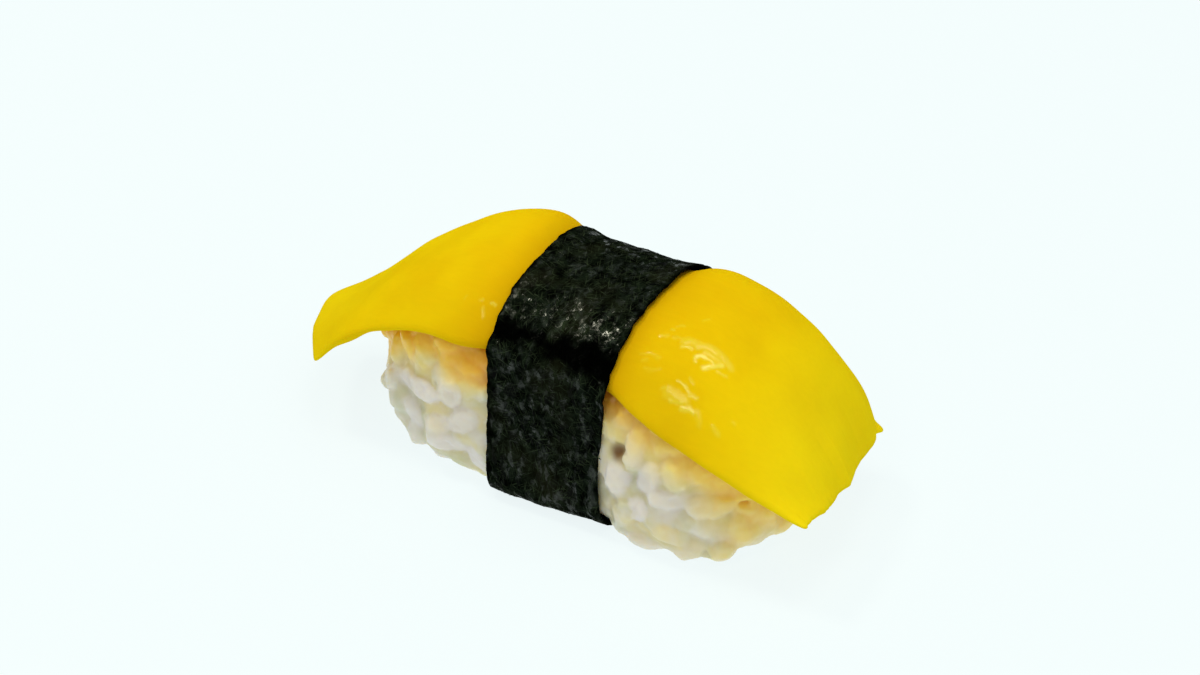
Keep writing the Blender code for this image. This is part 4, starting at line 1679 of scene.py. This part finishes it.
@dataclass
class RiceLoaf:
    """The pressed loaf: real grains fused over a core at both ends, and a plain core under the nori."""

    slice_tree: BVHTree
    nori_tree: BVHTree
    finish: SteamedRice = SteamedRice()
    core_voxel: float = 0.7
    core_inset: float = 1.25
    core_rounds: int = 8
    core_foot: float = 0.3
    core_overlap: float = 1.0
    bare_inset: float = 1.2
    covered_side: float = 4.5
    covered_end: float = 5.5
    covered_height: float = 12.0
    covered_gap: float = 4.0
    seed: int = 31
    layers: tuple[GrainLayer, ...] = (
        GrainLayer(0.45, 0.85, 0.72, 5000),
        GrainLayer(-0.35, 0.05, 0.5, 4000),
    )
    least_stretch: float = 0.94
    most_stretch: float = 1.07
    shown_lift: float = 0.95
    shown_search: float = 3.0
    fused_rounds: int = 4
    pressed_rounds: int = 2
    closed_rounds: int = 3
    tone_blur: int = 8
    hollow_depth: float = 1.2
    lump_height: float = 0.11
    lump_size: float = 1.9
    starch_height: float = 0.05
    starch_size: float = 0.75
    tilt: float = 9.0
    voxel: float = 0.22
    press_level: float = 1.6
    press_in: float = 0.25
    press_out: float = 0.3
    pit_room: float = 3.0
    flush: float = 0.3
    under_nori: float = 2.5
    gap: float = 0.05
    nori_margin: float = 0.4
    nori_look_left: float = 0.3
    nori_look_right: float = 1.3
    stain_blur: int = 24
    stain_reach: float = 6.5
    stain_uneven: float = 0.2
    stain_size: float = 5.0
    left_stain: float = 1.5
    right_stain: float = 0.8
    end_more: float = 0.35
    end_stain: float = 8.5
    end_stain_from: float = 19.0
    end_stain_over: float = 10.0
    deep_share: float = 0.9
    deep_gain: float = 1.8
    deep_from: float = 0.3
    deep_reach: float = 3.0
    core_tone: float = 0.5
    pits: tuple[Pit, ...] = (Pit((13.0, -12.4, 12.8), 1.4),)
    dents: tuple[Dent, ...] = (
        Dent((-23.6, -6.9, 11.3), 3.0, (0.65, 0.35, 0.0)),
        Dent((-24.5, -5.2, 9.4), 2.6, (0.65, 0.35, 0.0)),
        Dent((-23.9, -5.8, 14.5), 3.4, (1.15, 0.6, 0.0)),
        Dent((-9.8, -12.4, 2.4), 4.2, (0.0, 1.2, 0.0)),
    )
    shown: tuple[ShownGrain, ...] = (
        ShownGrain((-14.9, -11.3, 11.2), (1.0, -0.1, 0.1), GrainForm.LONG, 1.0, 0.45),
        ShownGrain((-17.2, -10.8, 11.1), (1.0, -0.2, 0.1), GrainForm.BROKEN, 1.0, 0.4),
        ShownGrain((-10.4, -12.0, 12.7), (0.2, 0.0, 1.0), GrainForm.PLUMP, 0.8, 0.2),
        ShownGrain((-11.7, -11.4, 4.8), (1.0, -0.1, 0.1), GrainForm.WHOLE, 0.95),
        ShownGrain((-7.6, -12.0, 3.6), (0.3, 0.0, 1.0), GrainForm.BROKEN, 1.0),
        ShownGrain((-8.9, -11.6, 9.0), (0.7, 0.0, 0.7), GrainForm.WHOLE, 0.9),
        ShownGrain((-21.3, -8.3, 8.8), (0.6, -0.6, 0.4), GrainForm.PLUMP, 0.6),
        ShownGrain((-20.0, -8.0, 13.5), (0.2, 0.1, 1.0), GrainForm.BROKEN, 0.4),
        ShownGrain((15.4, -12.0, 14.9), (0.1, 0.0, 1.0), GrainForm.LONG, 0.95),
        ShownGrain((17.4, -12.2, 11.2), (0.35, 0.0, 0.9), GrainForm.WHOLE, 0.95),
        ShownGrain((13.2, -12.2, 9.6), (0.3, 0.0, 1.0), GrainForm.PLUMP, 0.9),
        ShownGrain((15.8, -12.4, 6.2), (1.0, 0.0, 0.2), GrainForm.BROKEN, 1.0),
        ShownGrain((20.0, -12.8, 9.0), (1.0, 0.05, 0.12), GrainForm.LONG, 0.9),
        ShownGrain((25.0, -11.9, 8.8), (1.0, 0.25, 0.05), GrainForm.LONG, 0.8),
        ShownGrain((14.2, -12.6, 5.0), (0.6, 0.0, 0.8), GrainForm.PLUMP, 0.0),
    )

    def build(self) -> list[Object]:
        """Make the loaf's three pieces in place of its solid.

        Returns:
            Its left end, its right end and the core between them.
        """
        material = self.finish.material()
        low, high = box_of("nori_band")
        cuts = {Side.LEFT: low[0] + self.under_nori, Side.RIGHT: high[0] - self.under_nori}
        core = self.core_skin()
        pieces = []
        for number, side in enumerate(Side):
            end = self.cut(core, f"rice_{side.value}", cuts[side], side is Side.LEFT)
            self.fuse_grains(end, self.seed + number, material)
            pieces.append(end)
        without_right = self.cut(core, "core_left", cuts[Side.RIGHT] + self.core_overlap, True)
        middle = self.cut(without_right, "rice_core", cuts[Side.LEFT] - self.core_overlap, False)
        for spare in (without_right, core):
            bpy.data.objects.remove(spare, do_unlink=True)
        for name in ("grain_tone", "hollow", "stained", "deep", "pit"):
            value = self.core_tone if name == "grain_tone" else 0.0
            store(middle.data, name, np.full(len(middle.data.vertices), value))
        middle.data.materials.append(material)
        pieces.append(middle)
        for piece in pieces:
            ride(piece, "rice")
        return pieces

    def core_skin(self) -> Object:
        """Smooth the solid and draw it in a little.

        Returns:
            The loaf without its grains.
        """
        core = merged_copy(frame["nodes"]["rice"], "core")
        remesh(core, self.core_voxel)
        points = relax(points_of(core.data), edges_of(core.data), self.core_rounds)
        move_points(core.data, points)
        points = points - normals_of(core.data) * self.core_inset
        points[:, 2] = np.maximum(points[:, 2], self.core_foot)
        move_points(core.data, points)
        return core

    def cut(self, whole: Object, name: str, x: float, keep_left: bool) -> Object:
        """Copy one side of a mesh, closed where it is cut.

        Args:
            whole: The mesh to cut, which stays.
            name: The copy's name.
            x: Where the cut is, in millimetres.
            keep_left: Whether the side of lower X is kept.

        Returns:
            The copy.
        """
        work = opened(whole.data)
        plane = {"plane_co": (x * MM, 0, 0), "plane_no": (1, 0, 0)}
        side = {"clear_outer": keep_left, "clear_inner": not keep_left}
        geometry = [*work.verts, *work.edges, *work.faces]
        made = bmesh.ops.bisect_plane(work, geom=geometry, **plane, **side)
        rim = [item for item in made["geom_cut"] if isinstance(item, bmesh.types.BMEdge)]
        bmesh.ops.contextual_create(work, geom=rim)
        return linked(closed(work, bpy.data.meshes.new(name)), name)

    def bare(self, mesh: Mesh) -> np.ndarray:
        """Find where the core can be seen, and isn't deep under the slice or the nori.

        Args:
            mesh: The core's mesh.

        Returns:
            1 at points that can be seen, and 0 at the others.
        """
        points = points_of(mesh)
        x, y, z = points.T
        band_low, band_high = box_of("nori_band")
        low, high = box_of("rice")
        hidden = (x > band_low[0] + self.bare_inset) & (x < band_high[0] - self.bare_inset)
        up = Vector((0.0, 0.0, 1.0))
        hits = [self.slice_tree.ray_cast(Vector(point), up)[3] for point in points]
        covered = np.array([hit or math.inf for hit in hits]) < self.covered_gap
        covered &= (np.abs(y) < high[1] - self.covered_side) & (z > self.covered_height)
        covered &= (x <= high[0] - self.covered_end) & (x >= low[0] + self.covered_end)
        return np.where(hidden | covered, 0.0, 1.0)

    def fuse_grains(self, piece: Object, seed: int, material: Material) -> None:
        """Lay grains on a piece of the core, fuse them to it and press them under their neighbours.

        Args:
            piece: The piece of core, which becomes the finished rice.
            seed: What the random choices start from.
            material: The rice's finish.
        """
        core = tree_of(piece.data)
        grains = self.laid_grains(piece, core, seed, material)
        grain_tree = tree_of(grains.data)
        tones = stored(grains.data, "grain_tone")[triangles_of(grains.data)[:, 0]]
        closed(opened(piece.data, grains.data), piece.data)
        bpy.data.objects.remove(grains, do_unlink=True)
        remesh(piece, self.voxel)
        edges = edges_of(piece.data)
        points = relax(points_of(piece.data), edges, self.fused_rounds)
        nearest = [grain_tree.find_nearest(Vector(point))[2] for point in points]
        tone = relax(tones[nearest][:, None], edges, self.tone_blur)[:, 0]
        points, depth = self.flattened(points, core)
        # How deep each point lies under the pressed level sets the crevices' painted shade.
        hollow = smooth_step(depth / self.hollow_depth)
        move_points(piece.data, relax(points, edges, self.pressed_rounds))
        # Pressed grains fold over the gaps between them, so the skin is closed once more.
        folded, corners = tree_of(piece.data), triangles_of(piece.data)
        remesh(piece, self.voxel)
        points = points_of(piece.data)
        nearest = corners[[folded.find_nearest(Vector(point))[2] for point in points], 0]
        store(piece.data, "grain_tone", tone[nearest])
        store(piece.data, "hollow", hollow[nearest])
        points = relax(points, edges_of(piece.data), self.closed_rounds)
        for dent in self.dents:
            points += spot(points, dent.middle, dent.reach)[:, None] * dent.push
        move_points(piece.data, points)
        lumps = self.lump_height * waves(points, self.lump_size, seed=41.0)
        lumps += self.starch_height * waves(points, self.starch_size, seed=42.0)
        points = self.pressed(points + normals_of(piece.data) * lumps[:, None])
        move_points(piece.data, points)
        self.stain(piece.data, points)
        piece.data.materials.clear()
        piece.data.materials.append(material)

    def laid_grains(self, piece: Object, core: BVHTree, seed: int, material: Material) -> Object:
        """Lay real grains over a piece of the core.

        Args:
            piece: The piece of core.
            core: Its search tree.
            seed: What the random choices start from.
            material: The rice's finish.

        Returns:
            The grains, as one loose mesh.
        """
        store(piece.data, "bare", self.bare(piece.data))
        bed = GrainBed(piece.data, seed)
        for grain in self.shown:
            bed.lay_shown(grain, core, self.shown_lift, self.shown_search)
        for layer in self.layers:
            bed.lay_layer(layer, self.pits, self.tilt)
        LOG.info("%s: %d grains", piece.name, len(bed.middles))
        grains = bed.seeds(self.least_stretch, self.most_stretch)
        self.grow_grains(grains, material)
        return grains

    def stain(self, mesh: Mesh, points: np.ndarray) -> None:
        """Store how far the slice's dye and its painted bounce light reach into the rice, where the tint
        is deepest with painted shade by the nori, and the painted shade of the pits.

        Args:
            mesh: The rice's mesh.
            points: Its points.
        """
        away = np.array([self.slice_tree.find_nearest(Vector(point))[3] for point in points])
        # Towards the right end the tint reaches further, as painted bounce light through the slice.
        end = smooth_step((points[:, 0] - self.end_stain_from) / self.end_stain_over)
        uneven = 1 + self.stain_uneven * waves(points, self.stain_size, seed=31.0)
        reach = uneven * (self.stain_reach + self.end_stain * end)
        strength = np.where(points[:, 0] < 0, self.left_stain, self.right_stain + self.end_more * end)
        stained = strength * (1 - np.clip(away / reach, 0.0, 1.0))
        stained = relax(stained[:, None], edges_of(mesh), self.stain_blur)[:, 0]
        # The deepest tint, strongest by the nori, is dye and painted shade.
        deep = self.deep_share * smooth_step(self.deep_gain * stained - self.deep_from)
        store(mesh, "stained", stained)
        store(mesh, "deep", deep * np.exp(-beside_nori(points) / self.deep_reach))
        store(mesh, "pit", np.max([spot(points, pit.middle, pit.reach) for pit in self.pits], axis=0))

    def grow_grains(self, piece: Object, material: Material) -> None:
        """Put a real grain on each point of the bed.

        Args:
            piece: The bed's points, which become the grains.
            material: The rice's finish.
        """
        box = bpy.data.collections.new("grain_forms")
        bpy.context.scene.collection.children.link(box)
        for number, form in enumerate(GrainForm):
            grain = form.shell()
            grain.name = f"grain_{number}"
            bpy.context.scene.collection.objects.unlink(grain)
            box.objects.link(grain)
        net = GeometryTree("rice_grains")
        source = net.start.outputs["Geometry"]
        links = {"Collection": net.input("Grain Forms", "NodeSocketCollection", box)}
        links |= {"Separate Children": True, "Reset Children": True}
        forms = net.node("GeometryNodeCollectionInfo", links).outputs[0]
        turn = net.turn(net.stored("turn", "FLOAT_VECTOR"))
        stretch = net.stored("stretch", "FLOAT_VECTOR")
        grains = net.scatter(source, forms, net.stored("form", "INT"), turn, stretch)
        net.apply(piece, grains, material)
        for grain in list(box.objects):
            bpy.data.objects.remove(grain, do_unlink=True)
        bpy.data.collections.remove(box)
        subdivide(piece, 1)

    def flattened(self, points: np.ndarray, core: BVHTree) -> tuple[np.ndarray, np.ndarray]:
        """Press the grains' backs flat, as the mould did, and let starch fill the hollows.

        Args:
            points: The fused rice's points.
            core: The search tree of the core under the grains.

        Returns:
            The points, and how deep each lay under the pressed level.
        """
        points = points.copy()
        depth = np.zeros(len(points))
        for i, point in enumerate(points):
            foot, normal, _, height = core.find_nearest(Vector(point))
            over = height - self.press_level
            depth[i] = -over
            room = self.press_out if over > 0 else self.press_in
            if any(pit.holds(point) for pit in self.pits):
                room = self.pit_room * room
            kept = self.press_level + room * math.tanh(over / room)
            out = (point - np.array(foot)) / height if height > self.flush else np.array(normal)
            points[i] = np.array(foot) + out * kept
        return points, depth

    def pressed(self, points: np.ndarray) -> np.ndarray:
        """Flatten the rice against the floor, under the slice and inside the nori.

        Args:
            points: The fused rice's points.

        Returns:
            The points, none of which is inside a neighbour.
        """
        points = points.copy()
        points[:, 2] = np.maximum(points[:, 2], 0.0)
        up = Vector((0.0, 0.0, 1.0))
        for i, (x, y, z) in enumerate(points):
            hit = self.slice_tree.ray_cast(Vector((x, y, -1.0)), up)[0]
            if hit is not None:
                points[i, 2] = min(z, hit.z - self.gap)
        low, high = box_of("nori_band")
        axis = (low + high) / 2
        within = (points[:, 0] > low[0] - self.nori_margin) & (points[:, 0] < high[0] + self.nori_margin)
        for i in np.nonzero(within)[0]:
            x, y, z = points[i]
            out = Vector((0.0, y - axis[1], z - axis[2]))
            reach = out.length
            look = min(max(x, low[0] + self.nori_look_left), high[0] - self.nori_look_right)
            hit = self.nori_tree.ray_cast(Vector((look, axis[1], axis[2])), out.normalized())[3]
            if hit is not None and reach > hit - self.gap:
                points[i, 1:] = axis[1:] + np.array(out[1:]) * (hit - self.gap) / reach
        points[:, 2] = np.maximum(points[:, 2], 0.0)
        return points


# ---------------------------------------------------------------- studio


@dataclass(frozen=True)
class Lamp:
    """A square lamp that faces the food.

    Its direction is seen from the food, its distance and its side are in metres, and its power is
    in watts.
    """

    name: str
    towards: tuple[float, float, float]
    distance: float
    side: float
    power: float

    def hang(self, colour: str) -> None:
        """Hang the lamp.

        Args:
            colour: The colour of its light.
        """
        lamp = bpy.data.lights.new(self.name, "AREA")
        lamp.shape = "SQUARE"
        lamp.size = self.side
        lamp.energy = self.power
        lamp.color = srgb(colour)[:3]
        holder = bpy.data.objects.new(self.name, lamp)
        away = Vector(self.towards).normalized()
        holder.location = away * self.distance
        holder.rotation_euler = away.to_track_quat("Z", "Y").to_euler()
        bpy.context.scene.collection.objects.link(holder)


@dataclass
class Studio:
    """The plain pale floor, the soft light and the camera."""

    azimuth: float = 30.8
    elevation: float = 34.0
    distance: float = 420.0
    aim: tuple[float, float, float] = (-1.579, 7.383, 12.199)
    lens: float = 103.95
    sensor: float = 36.0
    nearest: float = 0.01
    farthest: float = 50.0
    floor_half: float = 3000.0
    paper: StudioPaper = StudioPaper()
    lamp_colour: str = "#fffbe2"
    lamps: tuple[Lamp, ...] = (
        Lamp("overhead", (0.45, 0.0, 1.0), 1.0, 1.0, 4.5),
        Lamp("ceiling_lamp", (0.12, -0.03, 0.99), 0.6, 0.16, 0.5),
        Lamp("window", (0.03, -0.65, 0.76), 0.6, 0.16, 0.5),
        Lamp("side_lamp", (-0.4, -0.08, 0.91), 0.6, 0.1, 0.95),
    )
    sky: str = "#f4fbff"
    sky_strength: float = 0.35

    def build(self) -> None:
        """Make everything that isn't part of the food."""
        self.floor()
        self.world()
        for lamp in self.lamps:
            lamp.hang(self.lamp_colour)
        self.camera()
        settings = bpy.context.scene.view_settings
        settings.view_transform = "Standard"
        settings.look = "None"

    def floor(self) -> None:
        """Lay the floor."""
        half = self.floor_half
        points = [(-half, -half, 0.0), (half, -half, 0.0), (half, half, 0.0), (-half, half, 0.0)]
        floor = new_piece("floor", points, [(0, 1, 2, 3)])
        floor.data.materials.append(self.paper.material())

    def world(self) -> None:
        """Fill the room with even pale light."""
        world = bpy.data.worlds.new("studio")
        world.use_nodes = True
        background = world.node_tree.nodes["Background"]
        feed(world.node_tree, background, {"Color": srgb(self.sky), "Strength": self.sky_strength})
        bpy.context.scene.world = world

    def camera(self) -> None:
        """Set the camera where the photograph was taken from."""
        azimuth, elevation = math.radians(self.azimuth), math.radians(self.elevation)
        flat = math.cos(elevation)
        back = Vector((math.sin(azimuth) * flat, -math.cos(azimuth) * flat, math.sin(elevation)))
        lens = bpy.data.cameras.new("camera")
        lens.lens = self.lens
        lens.sensor_width = self.sensor
        lens.clip_start = self.nearest
        lens.clip_end = self.farthest
        holder = bpy.data.objects.new("camera", lens)
        holder.location = (Vector(self.aim) + back * self.distance) * MM
        holder.rotation_euler = back.to_track_quat("Z", "Y").to_euler()
        bpy.context.scene.collection.objects.link(holder)
        bpy.context.scene.camera = holder


def main() -> None:
    """Build the studio and the three pieces of food."""
    logging.basicConfig(level=logging.INFO, format="%(name)s %(message)s")
    Studio().build()
    flesh = YellowSlice().build()
    nori = NoriBand().build()
    RiceLoaf(tree_of(flesh.data), tree_of(nori.data)).build()


if __name__ == "__main__":
    main()
